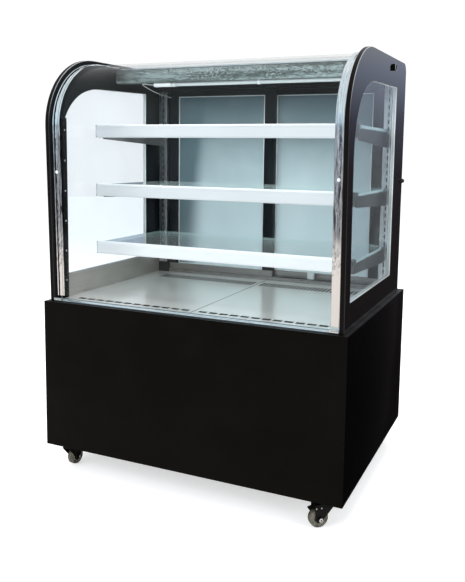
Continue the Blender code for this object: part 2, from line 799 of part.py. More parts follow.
def front_sill(mats):
    """The channel that holds the foot of the front glass."""
    glass_front = END_FOOT_Y + GLASS_SETBACK
    groove = (glass_front - 0.0008, glass_front + GLASS_THICK + 0.0006)
    low = BASE_TOP + GAP
    front = groove[0] - 0.0125
    outline = [
        (front, low),
        (groove[1] + 0.006, low),
        (groove[1] + 0.006, low + 0.0120),
        (groove[1], low + 0.0140),
        (groove[1], low + 0.0030),
        (groove[0], low + 0.0030),
        (groove[0], low + 0.0140),
        (groove[0] - 0.005, low + 0.0135),
        (front, low + 0.0090),
    ]
    return extrusion("front_sill", [outline], "x", -CASE_X, CASE_X, mats["aluminium"])


def roof_panel(mats):
    """A flat sheet that carries on the slope of the glass to the rear."""
    first, last = set_back(front_line(), GLASS_SETBACK)[-2:]
    slope = (last[1] - first[1]) / (last[0] - first[0])
    front_y = GLASS_END_Y + GAP
    rear_y = END_REAR_Y - 0.002
    front_z = last[1] + (front_y - last[0]) * slope
    rear_z = last[1] + (rear_y - last[0]) * slope
    thick = 0.004
    outline = [(front_y, front_z), (front_y, front_z - thick), (rear_y, rear_z - thick), (rear_y, rear_z)]
    return extrusion("roof_panel", [outline], "x", -CASE_X, CASE_X, mats["stainless"])


# ---------------------------------------------------------------- rear of the case
def rear_frame(mats):
    """Two posts and the header, in one portal round the doors."""
    roof_under = BASE_TOP + 0.6865
    low_z = BASE_TOP + GAP
    loop = [
        (-CASE_X, low_z),
        (-POST_INNER_X, low_z),
        (-POST_INNER_X, HEADER_Z),
        (POST_INNER_X, HEADER_Z),
        (POST_INNER_X, low_z),
        (CASE_X, low_z),
        (CASE_X, roof_under),
        (-CASE_X, roof_under),
    ]
    return extrusion("rear_frame", [loop], "y", REAR_FRAME_FRONT_Y, END_REAR_Y, mats["frame_black"])


def door_track(mats):
    """Floor rail between the posts, with three ribs that the doors run between."""
    low = BASE_TOP + GAP
    rib = TRACK_TOP_Z + 0.004
    between = (DOOR_INNER_Y + DOOR_THICK + DOOR_OUTER_Y) / 2
    middle = (between - 0.0015, between + 0.0015)
    front, rear = REAR_FRAME_FRONT_Y, END_REAR_Y
    outline = [
        (front, low),
        (rear, low),
        (rear, rib),
        (rear - 0.0025, rib),
        (rear - 0.0025, TRACK_TOP_Z),
        (middle[1], TRACK_TOP_Z),
        (middle[1], rib),
        (middle[0], rib),
        (middle[0], TRACK_TOP_Z),
        (front + 0.0025, TRACK_TOP_Z),
        (front + 0.0025, rib),
        (front, rib),
    ]
    limit = POST_INNER_X - GAP
    return extrusion("door_track", [outline], "x", -limit, limit, mats["aluminium"])


def sliding_doors(mats):
    """Two framed panes that pass each other; their middle stiles overlap when shut."""
    outer_x = POST_INNER_X - 0.0005
    spans = {
        "left": (-outer_x, DOOR_OVERLAP, DOOR_INNER_Y, 0.004),
        "right": (-DOOR_OVERLAP, outer_x, DOOR_OUTER_Y, 0.008),
    }
    for side, (low_x, high_x, front_y, pull_depth) in spans.items():
        rear_y = front_y + DOOR_THICK
        outside = rectangle(low_x, DOOR_BOTTOM_Z, high_x, DOOR_TOP_Z)
        glass = (low_x + DOOR_STILE, DOOR_GLASS_BOTTOM_Z, high_x - DOOR_STILE, DOOR_GLASS_TOP_Z)
        frame = extrusion(
            f"door_frame_{side}", [outside, rectangle(*glass)], "y", front_y, rear_y, mats["frame_black"]
        )
        pull_x = low_x if side == "left" else high_x - 0.006
        pull = box(
            "pull",
            (pull_x, rear_y - 0.001, BASE_TOP + 0.180),
            (pull_x + 0.006, rear_y + pull_depth, BASE_TOP + 0.480),
        )
        join(frame, pull)
        middle = (front_y + rear_y) / 2
        box(
            f"door_glass_{side}",
            (glass[0] + GAP, middle - 0.0025, glass[1] + GAP),
            (glass[2] - GAP, middle + 0.0025, glass[3] - GAP),
            mats["clear_glass"],
        )


# ---------------------------------------------------------------- inside the case
def bar_bottom(level):
    return BAR_LOWEST_Z + SHELF_PITCH * level


def shelf_top(level):
    return bar_bottom(level) + BAR_HEIGHT - SHELF_BELOW_BAR_TOP


def light_bars(mats):
    """White diffuser along each shelf's front edge, rounded in front."""
    for level in range(3):
        low = bar_bottom(level)
        radius = 0.012
        centre_y = BAR_FRONT_Y + radius
        outline = [
            (BAR_REAR_Y, low),
            (BAR_REAR_Y, low + BAR_HEIGHT),
            *arc((centre_y, low + BAR_HEIGHT - radius), radius, 90, 180, 4),
            *arc((centre_y, low + radius), radius, 180, 270, 4),
        ]
        extrusion(f"light_bar_{level + 1}", [outline], "x", -SHELF_HALF_X, SHELF_HALF_X, mats["diffuser"])


def shelf_panes(mats):
    for level in range(3):
        top = shelf_top(level)
        box(
            f"shelf_glass_{level + 1}",
            (-SHELF_HALF_X, BAR_REAR_Y + GAP, top - SHELF_THICK),
            (SHELF_HALF_X, SHELF_REAR_Y, top),
            mats["clear_glass"],
        )


def slot_low(level, tab):
    """Bottom of the slot that a bracket's tab hooks into; tab 0 is the lower one."""
    top = shelf_top(level) - SHELF_THICK - GAP
    return top - 0.008 - (1 - tab) * SLOT_PITCH - 0.010


def shelf_brackets(mats):
    """Tapered arm under each end of a shelf, with two tabs in the standard's slots."""
    front_y = BAR_REAR_Y + GAP
    rear_y = STANDARD_FRONT_Y - GAP
    for level in range(3):
        top = shelf_top(level) - SHELF_THICK - GAP
        outline = [
            (front_y, top),
            (front_y, top - BRACKET_FRONT_DEPTH + 0.006),
            (front_y + 0.006, top - BRACKET_FRONT_DEPTH),
            (rear_y, top - BRACKET_REAR_DEPTH),
        ]
        for tab in (0, 1):
            low = slot_low(level, tab) + 0.002
            high = low + 0.009
            outline += [(rear_y, low), (rear_y + 0.006, low), (rear_y + 0.006, high), (rear_y, high)]
        outline.append((rear_y, top))
        for side in (-1, 1):
            name = mirrored(f"shelf_bracket_{level + 1}", side)
            middle = side * BRACKET_X
            low_x, high_x = middle - BRACKET_THICK / 2 + 0.0008, middle + BRACKET_THICK / 2 - 0.0008
            extrusion(name, [outline], "x", low_x, high_x, mats["bracket_grey"])


def shelf_standards(mats):
    """Upright channel with one column of slots, on the front face of each rear post."""
    rear_y = REAR_FRAME_FRONT_Y - GAP
    wall = 0.0015
    low_z, high_z = BASE_TOP + 0.040, HEADER_Z - 0.004
    first = slot_low(0, 0)
    for side in (-1, 1):
        middle = side * BRACKET_X
        left, right = middle - STANDARD_HALF_X, middle + STANDARD_HALF_X
        section = [
            (left, rear_y),
            (left, STANDARD_FRONT_Y),
            (right, STANDARD_FRONT_Y),
            (right, rear_y),
            (right - wall, rear_y),
            (right - wall, STANDARD_FRONT_Y + wall),
            (left + wall, STANDARD_FRONT_Y + wall),
            (left + wall, rear_y),
        ]
        name = mirrored("shelf_standard", side)
        channel = extrusion(name, [section], "z", low_z, high_z, mats["stainless"])
        slots = []
        for i in range(-2, 40):
            low = first + i * SLOT_PITCH
            if low_z + 0.005 < low and low + 0.013 < high_z - 0.005:
                corner = (middle - 0.002, STANDARD_FRONT_Y - 0.002, low)
                slots.append((corner, (middle + 0.002, STANDARD_FRONT_Y + wall + 0.001, low + 0.013)))
        cut(channel, boxes("standard_slots", slots))


DECK_FRONT_Y = -0.294
DECK_REAR_Y = REAR_FRAME_FRONT_Y - GAP
DECK_THICK = 0.002
REAR_SLOTS = (0.158, 0.212)  # front and rear end of each slot in the rear row
REAR_SLOT_PITCH = 0.0125
FRONT_SLOTS = (-0.274, -0.261)
FRONT_SLOT_PITCH = 0.031


def deck_trays(mats):
    """Two perforated steel trays that cover the cold well."""
    low_z = BASE_TOP + GAP
    for side in (-1, 1):
        low_x, high_x = span_x(side, 0.0004, CASE_X)
        tray = box(
            mirrored("deck_tray", side),
            (low_x, DECK_FRONT_Y, low_z),
            (high_x, DECK_REAR_Y, low_z + DECK_THICK),
            mats["stainless"],
        )
        holes = []
        for i in range(28):
            x = side * (0.018 + i * REAR_SLOT_PITCH)
            holes.append(
                (
                    (x - 0.0025, REAR_SLOTS[0], low_z - 0.002),
                    (x + 0.0025, REAR_SLOTS[1], low_z + DECK_THICK + 0.002),
                )
            )
        for i in range(12):
            x = side * (0.027 + i * FRONT_SLOT_PITCH)
            holes.append(
                (
                    (x - 0.012, FRONT_SLOTS[0], low_z - 0.002),
                    (x + 0.012, FRONT_SLOTS[1], low_z + DECK_THICK + 0.002),
                )
            )
        cut(tray, boxes("deck_slots", holes))


ROOF_LAMP_Z = BASE_TOP + 0.6375
ROOF_LAMP_Y = -0.012


def roof_lamp(mats):
    """Aluminium housing under the roof panel, and the tube clipped below it."""
    low = ROOF_LAMP_Z + 0.0060
    outline = [
        (ROOF_LAMP_Y - 0.020, low + 0.006),
        (ROOF_LAMP_Y - 0.014, low),
        (ROOF_LAMP_Y + 0.014, low),
        (ROOF_LAMP_Y + 0.020, low + 0.006),
        (ROOF_LAMP_Y + 0.020, BASE_TOP + 0.6825),
        (ROOF_LAMP_Y - 0.020, BASE_TOP + 0.6825),
    ]
    extrusion("roof_lamp_housing", [outline], "x", -0.405, 0.405, mats["aluminium"])
    rod(
        "roof_lamp_tube",
        (-0.275, ROOF_LAMP_Y, ROOF_LAMP_Z),
        (0.365, ROOF_LAMP_Y, ROOF_LAMP_Z),
        0.0056,
        mats["lamp"],
        16,
    )


# ---------------------------------------------------------------- assembly
def build():
    start_clean()
    mats = make_materials()
    bottom_pan(mats)
    base_panels(mats)
    rear_panel(mats)
    thermostat(mats)
    rocker_switches(mats)
    power_gland(mats)
    cold_well(mats)
    compressor(mats)
    condenser(mats)
    evaporator(mats)
    fan("condenser_fan", 0.092, 0.0034, 0.024, mats)
    fan("evaporator_fan", 0.045, 0.0029, 0.016, mats)
    for corner in CASTER_HEADINGS:
        caster(corner, mats)
    end_panels(mats)
    front_glass(mats)
    chrome_trims(mats)
    front_sill(mats)
    roof_panel(mats)
    rear_frame(mats)
    door_track(mats)
    sliding_doors(mats)
    light_bars(mats)
    shelf_panes(mats)
    shelf_brackets(mats)
    shelf_standards(mats)
    deck_trays(mats)
    roof_lamp(mats)


build()
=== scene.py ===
"""Looks of the refrigerated display showcase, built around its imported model.

Metres, +Z up, in the model's own frame: the front faces -Y, the service side +Y.
Pieces whose shape is right keep their node and get a material; the ones that need
rounded edges or finer parts are replaced here, inside the same boxes.
"""

import json
import math

import bmesh
import bpy
from mathutils import Matrix, Vector
from mathutils.geometry import convex_hull_2d

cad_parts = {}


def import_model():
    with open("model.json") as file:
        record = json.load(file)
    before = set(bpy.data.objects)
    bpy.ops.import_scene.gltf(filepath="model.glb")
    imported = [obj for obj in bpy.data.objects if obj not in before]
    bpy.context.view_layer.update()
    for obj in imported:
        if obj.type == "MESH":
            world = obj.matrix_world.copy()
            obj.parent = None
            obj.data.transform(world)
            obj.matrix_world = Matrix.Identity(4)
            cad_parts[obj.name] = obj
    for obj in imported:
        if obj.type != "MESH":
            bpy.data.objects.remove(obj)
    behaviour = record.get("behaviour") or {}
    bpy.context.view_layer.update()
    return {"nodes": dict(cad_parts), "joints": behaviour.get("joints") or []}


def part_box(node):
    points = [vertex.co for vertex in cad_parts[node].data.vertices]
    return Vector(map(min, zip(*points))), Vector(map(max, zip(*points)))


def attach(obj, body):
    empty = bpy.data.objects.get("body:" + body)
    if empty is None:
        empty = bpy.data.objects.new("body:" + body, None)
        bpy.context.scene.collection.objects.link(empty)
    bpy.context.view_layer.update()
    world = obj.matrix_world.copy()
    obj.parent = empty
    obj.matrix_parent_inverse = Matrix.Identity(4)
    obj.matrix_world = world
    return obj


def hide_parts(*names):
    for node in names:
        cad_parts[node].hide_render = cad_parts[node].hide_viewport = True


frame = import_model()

NODES = frame["nodes"]
SIDES = {"left": -1, "right": 1}
CORNERS = ("front_left", "front_right", "rear_left", "rear_right")
LEVELS = (1, 2, 3)


# -------- places from the model
def low(node):
    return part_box(node)[0]


def high(node):
    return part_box(node)[1]


def joint(name):
    return next(j for j in frame["joints"] if j["name"] == name)


BASE_TOP = high("base_front_panel").z
PANEL_OUT = high("end_panel_right").x
PANEL_IN = low("end_panel_right").x
DECK_Z = high("deck_tray_left").z


# -------- material graphs
class Nodes:
    """A node tree with one kind of coordinate, and short ways to add nodes to it."""

    def __init__(self, owner, coordinate):
        owner.use_nodes = True
        self.tree = owner.node_tree
        self.tree.nodes.clear()
        self.place = self.node("ShaderNodeTexCoord").outputs[coordinate]

    def node(self, kind, **settings):
        made = self.tree.nodes.new(kind)
        for key, value in settings.items():
            setattr(made, key, value)
        return made

    def feed(self, socket, value):
        if isinstance(value, bpy.types.NodeSocket):
            self.tree.links.new(value, socket)
        else:
            socket.default_value = value

    def math(self, operation, *values):
        made = self.node("ShaderNodeMath", operation=operation)
        for socket, value in zip(made.inputs, values):
            self.feed(socket, value)
        return made.outputs[0]

    def stretched(self, stretch):
        made = self.node("ShaderNodeMapping")
        self.feed(made.inputs["Vector"], self.place)
        made.inputs["Scale"].default_value = stretch
        return made.outputs["Vector"]

    def noise(self, scale, detail=3.0, stretch=None, rough=0.55, warp=0.0):
        made = self.node("ShaderNodeTexNoise")
        self.feed(made.inputs["Vector"], self.stretched(stretch) if stretch else self.place)
        made.inputs["Scale"].default_value = scale
        made.inputs["Detail"].default_value = detail
        made.inputs["Roughness"].default_value = rough
        made.inputs["Distortion"].default_value = warp
        return made.outputs["Fac"]

    def cells(self, scale):
        made = self.node("ShaderNodeTexVoronoi")
        self.feed(made.inputs["Vector"], self.place)
        made.inputs["Scale"].default_value = scale
        return made.outputs["Color"]

    def spread(self, value, start, end, to_start=0.0, to_end=1.0, smooth=False):
        made = self.node("ShaderNodeMapRange")
        if smooth:
            made.interpolation_type = "SMOOTHSTEP"
        for socket, number in zip(made.inputs, (value, start, end, to_start, to_end)):
            self.feed(socket, number)
        return made.outputs[0]

    def blend(self, factor, first, second):
        made = self.node("ShaderNodeMix", data_type="RGBA")
        sockets = [s for s in made.inputs if s.enabled]
        for socket, value in zip(sockets, (factor, first, second)):
            if isinstance(value, tuple):
                value = (*value, 1.0)
            self.feed(socket, value)
        return next(s for s in made.outputs if s.enabled)

    def along(self, axis):
        made = self.node("ShaderNodeSeparateXYZ")
        self.feed(made.inputs[0], self.place)
        return made.outputs[axis]


class Graph(Nodes):
    """A material with one Principled shader."""

    def __init__(self, name):
        self.material = bpy.data.materials.new(name)
        super().__init__(self.material, "Object")
        self.output = self.node("ShaderNodeOutputMaterial")
        self.shader = self.node("ShaderNodeBsdfPrincipled")
        self.surface(self.shader.outputs["BSDF"])

    def surface(self, socket):
        self.feed(self.output.inputs["Surface"], socket)

    def set(self, **values):
        """Shader inputs by name, with _ for a space."""
        for key, value in values.items():
            if isinstance(value, tuple) and len(value) == 3:
                value = (*value, 1.0)
            self.feed(self.shader.inputs[key.replace("_", " ")], value)
        return self

    def rough(self, source, least, most, start=0.3, end=0.7):
        """Roughness between two values, by a noise."""
        return self.set(Roughness=self.spread(source, start, end, least, most))

    def mix(self, factor, first, second):
        """The output of a mix of two shaders' outputs."""
        made = self.node("ShaderNodeMixShader")
        for socket, value in zip(made.inputs, (factor, first, second)):
            self.feed(socket, value)
        return made.outputs[0]

    def facing(self, axis):
        """How far a face's own normal leans to an axis, from 0 to 1."""
        normal = self.node("ShaderNodeTexCoord").outputs["Normal"]
        made = self.node("ShaderNodeSeparateXYZ")
        self.feed(made.inputs[0], normal)
        return self.math("ABSOLUTE", made.outputs[axis])

    def bump(self, height, strength, distance):
        made = self.node("ShaderNodeBump")
        made.inputs["Strength"].default_value = strength
        made.inputs["Distance"].default_value = distance
        self.feed(made.inputs["Height"], height)
        self.feed(self.shader.inputs["Normal"], made.outputs["Normal"])
        return self


# -------- finishes
ALONG_X = (0.02, 1.0, 1.0)  # stretches of a noise that draw it out along an axis
ALONG_Y = (1.0, 0.02, 1.0)
ALONG_Z = (1.0, 1.0, 0.02)


def powder_black():
    """Warm black powder coat: a fine grain, and a little dust."""
    g = Graph("powder_black")
    dust = g.noise(7.0, 5.0)
    colour = g.blend(g.spread(dust, 0.35, 0.75), (0.0030, 0.0022, 0.0014), (0.0044, 0.0034, 0.0024))
    g.set(Base_Color=colour, Specular_IOR_Level=0.05)
    g.rough(g.noise(30.0, 4.0), 0.46, 0.56)
    return g.bump(g.noise(1600.0, 2.0), 0.10, 0.0002).material


def gloss_black():
    """Black enamel with a faint orange peel and wiping marks."""
    g = Graph("gloss_black")
    wipe = g.noise(9.0, 6.0, (1.0, 1.0, 0.25), warp=0.6)
    g.set(Base_Color=(0.0009, 0.0009, 0.0012), Specular_IOR_Level=0.06)
    g.rough(wipe, 0.10, 0.20, 0.35)
    return g.bump(g.noise(260.0, 2.0), 0.04, 0.0002).material


def printed_glass():
    """Glass printed black on its back: deep, with a violet-grey sheen and light smears."""
    g = Graph("printed_glass")
    smear = g.noise(6.0, 6.0, (1.0, 1.0, 0.4), warp=1.2)
    colour = g.blend(smear, (0.0026, 0.0020, 0.0024), (0.0040, 0.0032, 0.0040))
    g.set(Base_Color=colour, Specular_IOR_Level=0.46)
    g.rough(smear, 0.045, 0.13, 0.35, 0.75)
    return g.bump(g.noise(12.0, 1.0), 0.03, 0.001).material


def edge_with_painted_highlight():
    """Ground and polished corner of the panel's glass, with a painted highlight: pale with painted glints
    high up on the panel, nearly black lower down.
    """
    g = Graph("arris_painted_highlight")
    glints = g.noise(14.0, 4.0)
    # Painted highlight: above this height the arris is painted pale and made metallic.
    upper = g.spread(g.along("Z"), BASE_TOP + 0.50, BASE_TOP + 0.68, smooth=True)
    pale = g.blend(glints, (0.45, 0.46, 0.48), (0.80, 0.80, 0.82))
    g.set(Base_Color=g.blend(upper, (0.030, 0.026, 0.026), pale), Specular_IOR_Level=0.2)
    g.set(Metallic=g.spread(upper, 0.0, 1.0, 0.1, 0.9))
    return g.rough(glints, 0.10, 0.28).material


def panel_edge():
    """The panel's ground edge, printed black like its back."""
    g = Graph("panel_edge")
    grind = g.noise(240.0, 3.0)
    colour = g.blend(grind, (0.0035, 0.0026, 0.0026), (0.0065, 0.0050, 0.0048))
    g.set(Base_Color=colour, Specular_IOR_Level=0.08)
    return g.rough(grind, 0.24, 0.40).material


CHROME_ROLL = (1.0, 0.30, 0.30)


def chrome():
    """Mirror finish that rolls a little, with fine wiping lines along its length."""
    g = Graph("chrome_polish")
    g.set(Base_Color=(0.88, 0.88, 0.88), Metallic=1.0)
    g.rough(g.noise(60.0, 4.0, (14.0, 1.0, 0.5)), 0.025, 0.10, 0.3, 0.75)
    return g.bump(g.noise(34.0, 3.0, CHROME_ROLL, warp=0.6), 0.45, 0.004).material


def trim_chrome_painted_reflections():
    """Bright trim with painted reflections: plain and warm low down, painted dark reflection streaks above,
    fainter between the bend and the crest, and a painted bluish reflection from the bend up.
    """
    g = Graph("trim_chrome_painted_reflections")
    up = g.along("Z")
    streaks = g.noise(26.0, 3.0, (18.0, 1.0, 0.5), warp=0.8)
    steps = ((0.20, 0.27), (0.46, 0.52), (0.64, 0.68))  # heights over the base
    above, bend, crest = (g.spread(up, BASE_TOP + a, BASE_TOP + b, smooth=True) for a, b in steps)
    amount = g.math("MAXIMUM", g.spread(bend, 0.0, 1.0, 1.0, 0.30), crest)
    # Painted reflection: dark streaks of the surroundings, at full strength below the bend and above the
    # crest, fainter between.
    share = g.spread(streaks, 0.49, 0.60, 0.0, 0.92, smooth=True)
    share = g.math("MULTIPLY", share, g.math("MULTIPLY", above, amount))
    # Painted reflection: a bluish tint from the bend up.
    tint = g.blend(bend, (0.95, 0.93, 0.92), (0.88, 0.96, 1.0))
    g.set(Base_Color=g.blend(share, tint, (0.10, 0.09, 0.11)), Metallic=1.0)
    g.rough(streaks, 0.03, 0.12, 0.3, 0.75)
    return g.bump(g.noise(34.0, 3.0, CHROME_ROLL, warp=0.6), 0.45, 0.004).material


def brushed(name, dark, light, stretch, rough=(0.20, 0.34), metal=1.0):
    """Metal brushed along one axis, by a noise that is drawn out along it."""
    g = Graph(name)
    lines = g.noise(420.0, 3.0, stretch)
    clouds = g.noise(5.0, 4.0)
    tone = g.math("MULTIPLY", g.math("ADD", lines, clouds), 0.5)
    colour = g.blend(g.spread(tone, 0.35, 0.65), dark, light)
    g.set(Base_Color=colour, Metallic=metal)
    g.rough(lines, *rough)
    return g.bump(lines, 0.10, 0.0002).material


def well_liner():
    """Liner of the cold well: grey low down, with painted shade making it dark just under the deck, and a
    black flange at the case's foot.
    """
    g = Graph("well_liner")
    flange = g.spread(g.along("Z"), BASE_TOP - 0.0034, BASE_TOP - 0.0030)
    cloud = g.noise(22.0, 4.0)
    # Painted shade: the top few centimetres, under the deck, are painted dark.
    inside = g.spread(g.along("Z"), BASE_TOP - 0.060, BASE_TOP - 0.015, 1.0, 0.0)
    shade = g.blend(cloud, (0.020, 0.021, 0.022), (0.035, 0.036, 0.037))
    colour = g.blend(inside, shade, g.blend(cloud, (0.30, 0.31, 0.31), (0.40, 0.41, 0.41)))
    g.set(Base_Color=g.blend(flange, colour, (0.006, 0.006, 0.006)))
    g.set(Specular_IOR_Level=g.spread(flange, 0.0, 1.0, 0.4, 0.1))
    g.rough(cloud, 0.3, 0.5)
    return g.bump(g.noise(900.0, 2.0), 0.05, 0.0002).material


def roof_steel():
    """Bright roof sheet that ripples a little, as thin polished sheet does."""
    g = Graph("roof_steel")
    ripples = g.noise(26.0, 2.0, (1.0, 2.6, 1.0), warp=0.4)
    colour = g.blend(g.spread(ripples, 0.4, 0.6), (0.84, 0.87, 0.87), (0.92, 0.95, 0.95))
    g.set(Base_Color=colour, Metallic=0.85)
    g.rough(ripples, 0.08, 0.18)
    return g.bump(ripples, 0.18, 0.006).material


def housing_metal():
    """Polished lamp housing whose face rolls in short slanting waves; its colour runs dark teal to pale
    with the waves, as painted reflections.
    """
    g = Graph("housing_polish_painted_reflection")
    rolls = g.noise(70.0, 2.0, (1.0, 1.0, 2.2), warp=1.6)
    long_rolls = g.noise(9.0, 2.0, (0.3, 1.0, 9.0))
    tone = g.math("MULTIPLY_ADD", rolls, 0.6, g.math("MULTIPLY", long_rolls, 0.4))
    # Painted reflection: the waves are painted into the colour, dark teal to pale.
    colour = g.blend(g.spread(tone, 0.42, 0.58), (0.11, 0.14, 0.13), (0.46, 0.54, 0.54))
    g.set(Base_Color=colour, Metallic=0.75)
    g.rough(rolls, 0.10, 0.24)
    return g.bump(rolls, 0.5, 0.003).material


# Rows of slots in the deck: first slot from the middle, pitch, count, half width, front and rear end,
# and how dark the painted shade filling a slot is.
SLOT_ROWS = (
    (0.018, 0.0125, 28, 0.0033, 0.157, 0.213, 0.010),
    (0.027, 0.031, 12, 0.0120, -0.275, -0.260, 0.090),
)


def deck_steel():
    """Stainless tray that mirrors the doors a little, with painted shade filling its slots."""
    g = Graph("deck_steel")
    clouds = g.noise(4.0, 4.0, warp=0.8)
    colour = g.blend(g.spread(clouds, 0.35, 0.7), (0.84, 0.83, 0.81), (0.92, 0.915, 0.90))
    off_seam = g.math("ABSOLUTE", g.along("X"))
    metal = 0.52
    colour = g.blend(g.spread(off_seam, 0.0009, 0.0018, 1.0, 0.0), colour, (0.10, 0.10, 0.10))
    for first, pitch, count, half, front, rear, shade in SLOT_ROWS:
        middle, reach = first + pitch * (count - 1) / 2, pitch * count / 2
        off_middle = g.math("ABSOLUTE", g.math("SUBTRACT", off_seam, middle))
        in_row = g.math("LESS_THAN", off_middle, reach)
        steps = g.math("PINGPONG", g.math("SUBTRACT", off_seam, first), pitch / 2)
        across = g.spread(steps, half, half + 0.0006, 1.0, 0.0)
        from_line = g.math("ABSOLUTE", g.math("SUBTRACT", g.along("Y"), (front + rear) / 2))
        end = (rear - front) / 2
        along = g.spread(from_line, end + 0.0008, end + 0.0016, 1.0, 0.0)
        # Painted shade: each slot is painted dark and less metallic, for the shadow in it.
        inside = g.math("MULTIPLY", across, g.math("MULTIPLY", in_row, along))
        colour = g.blend(inside, colour, (shade, shade * 1.15, shade * 1.15))
        metal = g.math("MULTIPLY", metal, g.math("SUBTRACT", 1.0, inside))
    g.set(Base_Color=colour, Metallic=metal)
    g.rough(clouds, 0.14, 0.24)
    return g.bump(g.noise(420.0, 3.0, ALONG_X), 0.05, 0.0002).material


def sill_metal():
    """Bright aluminium channel with a painted bluish-white reflection, and painted shade making it dark in
    its groove and along the step in front of the glass.
    """
    g = Graph("sill_aluminium")
    rear = high("front_sill").y
    y = g.along("Y")
    front_side = g.spread(y, rear - 0.0178, rear - 0.0172)
    rear_side = g.spread(y, rear - 0.0064, rear - 0.0058, 1.0, 0.0)
    # Painted shade: the groove and the step in front of the glass are painted dark and less metallic.
    groove = g.math("MULTIPLY", front_side, rear_side)
    lines = g.noise(420.0, 3.0, ALONG_X)
    # Painted reflection: the bright metal is tinted bluish-white.
    bright = g.blend(lines, (0.70, 0.82, 0.88), (0.86, 0.94, 0.98))
    g.set(Base_Color=g.blend(groove, bright, (0.020, 0.035, 0.045)))
    g.set(Metallic=g.spread(groove, 0.0, 1.0, 0.9, 0.3))
    return g.rough(lines, 0.10, 0.22).material


def zinc():
    """Galvanised sheet with its spangle."""
    g = Graph("zinc_spangle")
    flakes = g.cells(70.0)
    colour = g.blend(g.spread(flakes, 0.0, 1.0), (0.30, 0.31, 0.32), (0.46, 0.47, 0.49))
    g.set(Base_Color=colour, Metallic=1.0)
    g.rough(flakes, 0.32, 0.50, 0.0, 1.0)
    return g.bump(g.noise(40.0), 0.05, 0.001).material


def anodised_black(painted_light_below=None):
    """Black anodised extrusion. Below a given height, painted light turns the same extrusion a bright grey,
    nearly fully metallic.
    """
    g = Graph("anodised_black")
    lines = g.noise(500.0, 3.0, (1.0, 1.0, 0.03))
    colour = g.blend(lines, (0.0040, 0.0060, 0.0070), (0.0085, 0.0110, 0.0120))
    g.set(Base_Color=colour, Metallic=0.1, Specular_IOR_Level=0.07)
    g.rough(lines, 0.26, 0.40)
    if painted_light_below is not None:
        # Painted light: below this height the frame is painted bright grey and metallic, as if the lowest
        # light bar shone on it.
        painted_light_share = g.spread(g.along("Z"), painted_light_below - 0.0004, painted_light_below + 0.0004, 1.0, 0.0)
        g.set(Base_Color=g.blend(painted_light_share, colour, (0.36, 0.34, 0.325)))
        g.set(Metallic=g.spread(painted_light_share, 0.0, 1.0, 0.1, 0.9))
    return g.bump(lines, 0.05, 0.0002).material


def pane(name, tint, face, edge, haze=0.0, mirror=1.0, edge_alpha=0.75):
    """A clear pane. Light passes straight through; its faces mirror by the angle, and its
    narrow edges, whose normal leans away from the face's axis, show the glass's own green."""
    g = Graph(name)
    g.set(Base_Color=edge, Roughness=0.12, Specular_IOR_Level=0.6)
    clear = g.node("ShaderNodeBsdfTransparent")
    clear.inputs["Color"].default_value = (*tint, 1.0)
    gloss = g.node("ShaderNodeBsdfGlossy")
    smears = g.noise(8.0, 6.0, warp=1.0)
    g.feed(gloss.inputs["Roughness"], g.spread(smears, 0.4, 0.8, 0.012, 0.05))
    gloss.inputs["Color"].default_value = (1.0, 1.0, 1.0, 1.0)
    slant = g.node("ShaderNodeLayerWeight").outputs["Facing"]
    share = g.math("MULTIPLY_ADD", g.math("POWER", slant, 5.0), 0.96, 0.04)
    shown = g.mix(g.math("MULTIPLY", share, mirror), clear.outputs[0], gloss.outputs[0])
    if haze:
        film = g.node("ShaderNodeBsdfDiffuse")
        film.inputs["Color"].default_value = (0.80, 0.86, 0.88, 1.0)
        veil = g.spread(smears, 0.3, 0.8, haze * 0.6, haze * 1.4)
        shown = g.mix(veil, shown, film.outputs[0])
    on_edge = g.spread(g.facing(face), 0.2, 0.4, edge_alpha, 0.0)
    g.surface(g.mix(on_edge, shown, g.shader.outputs[0]))
    return g.material


def door_glass():
    """Double glazing with a blue-grey tint; painted shade makes it darker and more opaque towards its top
    and the left door's outer edge.
    """
    g = Graph("tinted_glass_painted_shade")
    top, foot = high("door_glass_left").z, low("door_glass_left").z
    height = g.spread(g.along("Z"), foot, top)
    clouds = g.noise(3.0, 3.0, warp=0.5)
    level = g.math("ADD", height, g.math("MULTIPLY", clouds, 0.35))
    side = low("door_glass_left").x
    outer = g.spread(g.along("X"), side + 0.01, side + 0.11, 0.75, 0.0, smooth=True)
    level = g.math("ADD", level, outer)
    # Painted shade: darker and more opaque towards the top and the left door's outer edge.
    painted_shade_share = g.spread(level, 0.25, 1.25, smooth=True)
    colour = g.blend(painted_shade_share, (0.62, 0.75, 0.80), (0.08, 0.13, 0.15))
    g.set(Base_Color=colour, Roughness=0.06, Specular_IOR_Level=0.5)
    return g.set(Alpha=g.spread(level, 0.2, 1.2, 0.67, 0.92)).material


def diffuser():
    """Frosted white extrusion that glows as the shelf lamp it is; its glow is dimmed towards each bar's
    left end as painted shade, and stronger on the lowest bar.
    """
    g = Graph("frosted_white")
    cloud = g.noise(3.0, 3.0, (1.0, 4.0, 4.0))
    colour = g.blend(cloud, (0.44, 0.47, 0.49), (0.53, 0.56, 0.58))
    g.set(Base_Color=colour, Roughness=0.32, Specular_IOR_Level=0.35)
    left = low("light_bar_1").x
    # Painted shade: the glow fades towards the left end of each bar.
    lit = g.spread(g.along("X"), left + 0.03, left + 0.22, 0.19, 0.26, smooth=True)
    lowest, middle = sorted(low(f"light_bar_{level}").z for level in LEVELS)[:2]
    lit = g.math("MULTIPLY", lit, g.spread(g.along("Z"), lowest, middle, 1.7, 0.80))
    g.set(Emission_Color=(0.95, 0.98, 1.0), Emission_Strength=lit)
    return g.bump(g.noise(300.0, 2.0), 0.03, 0.0002).material


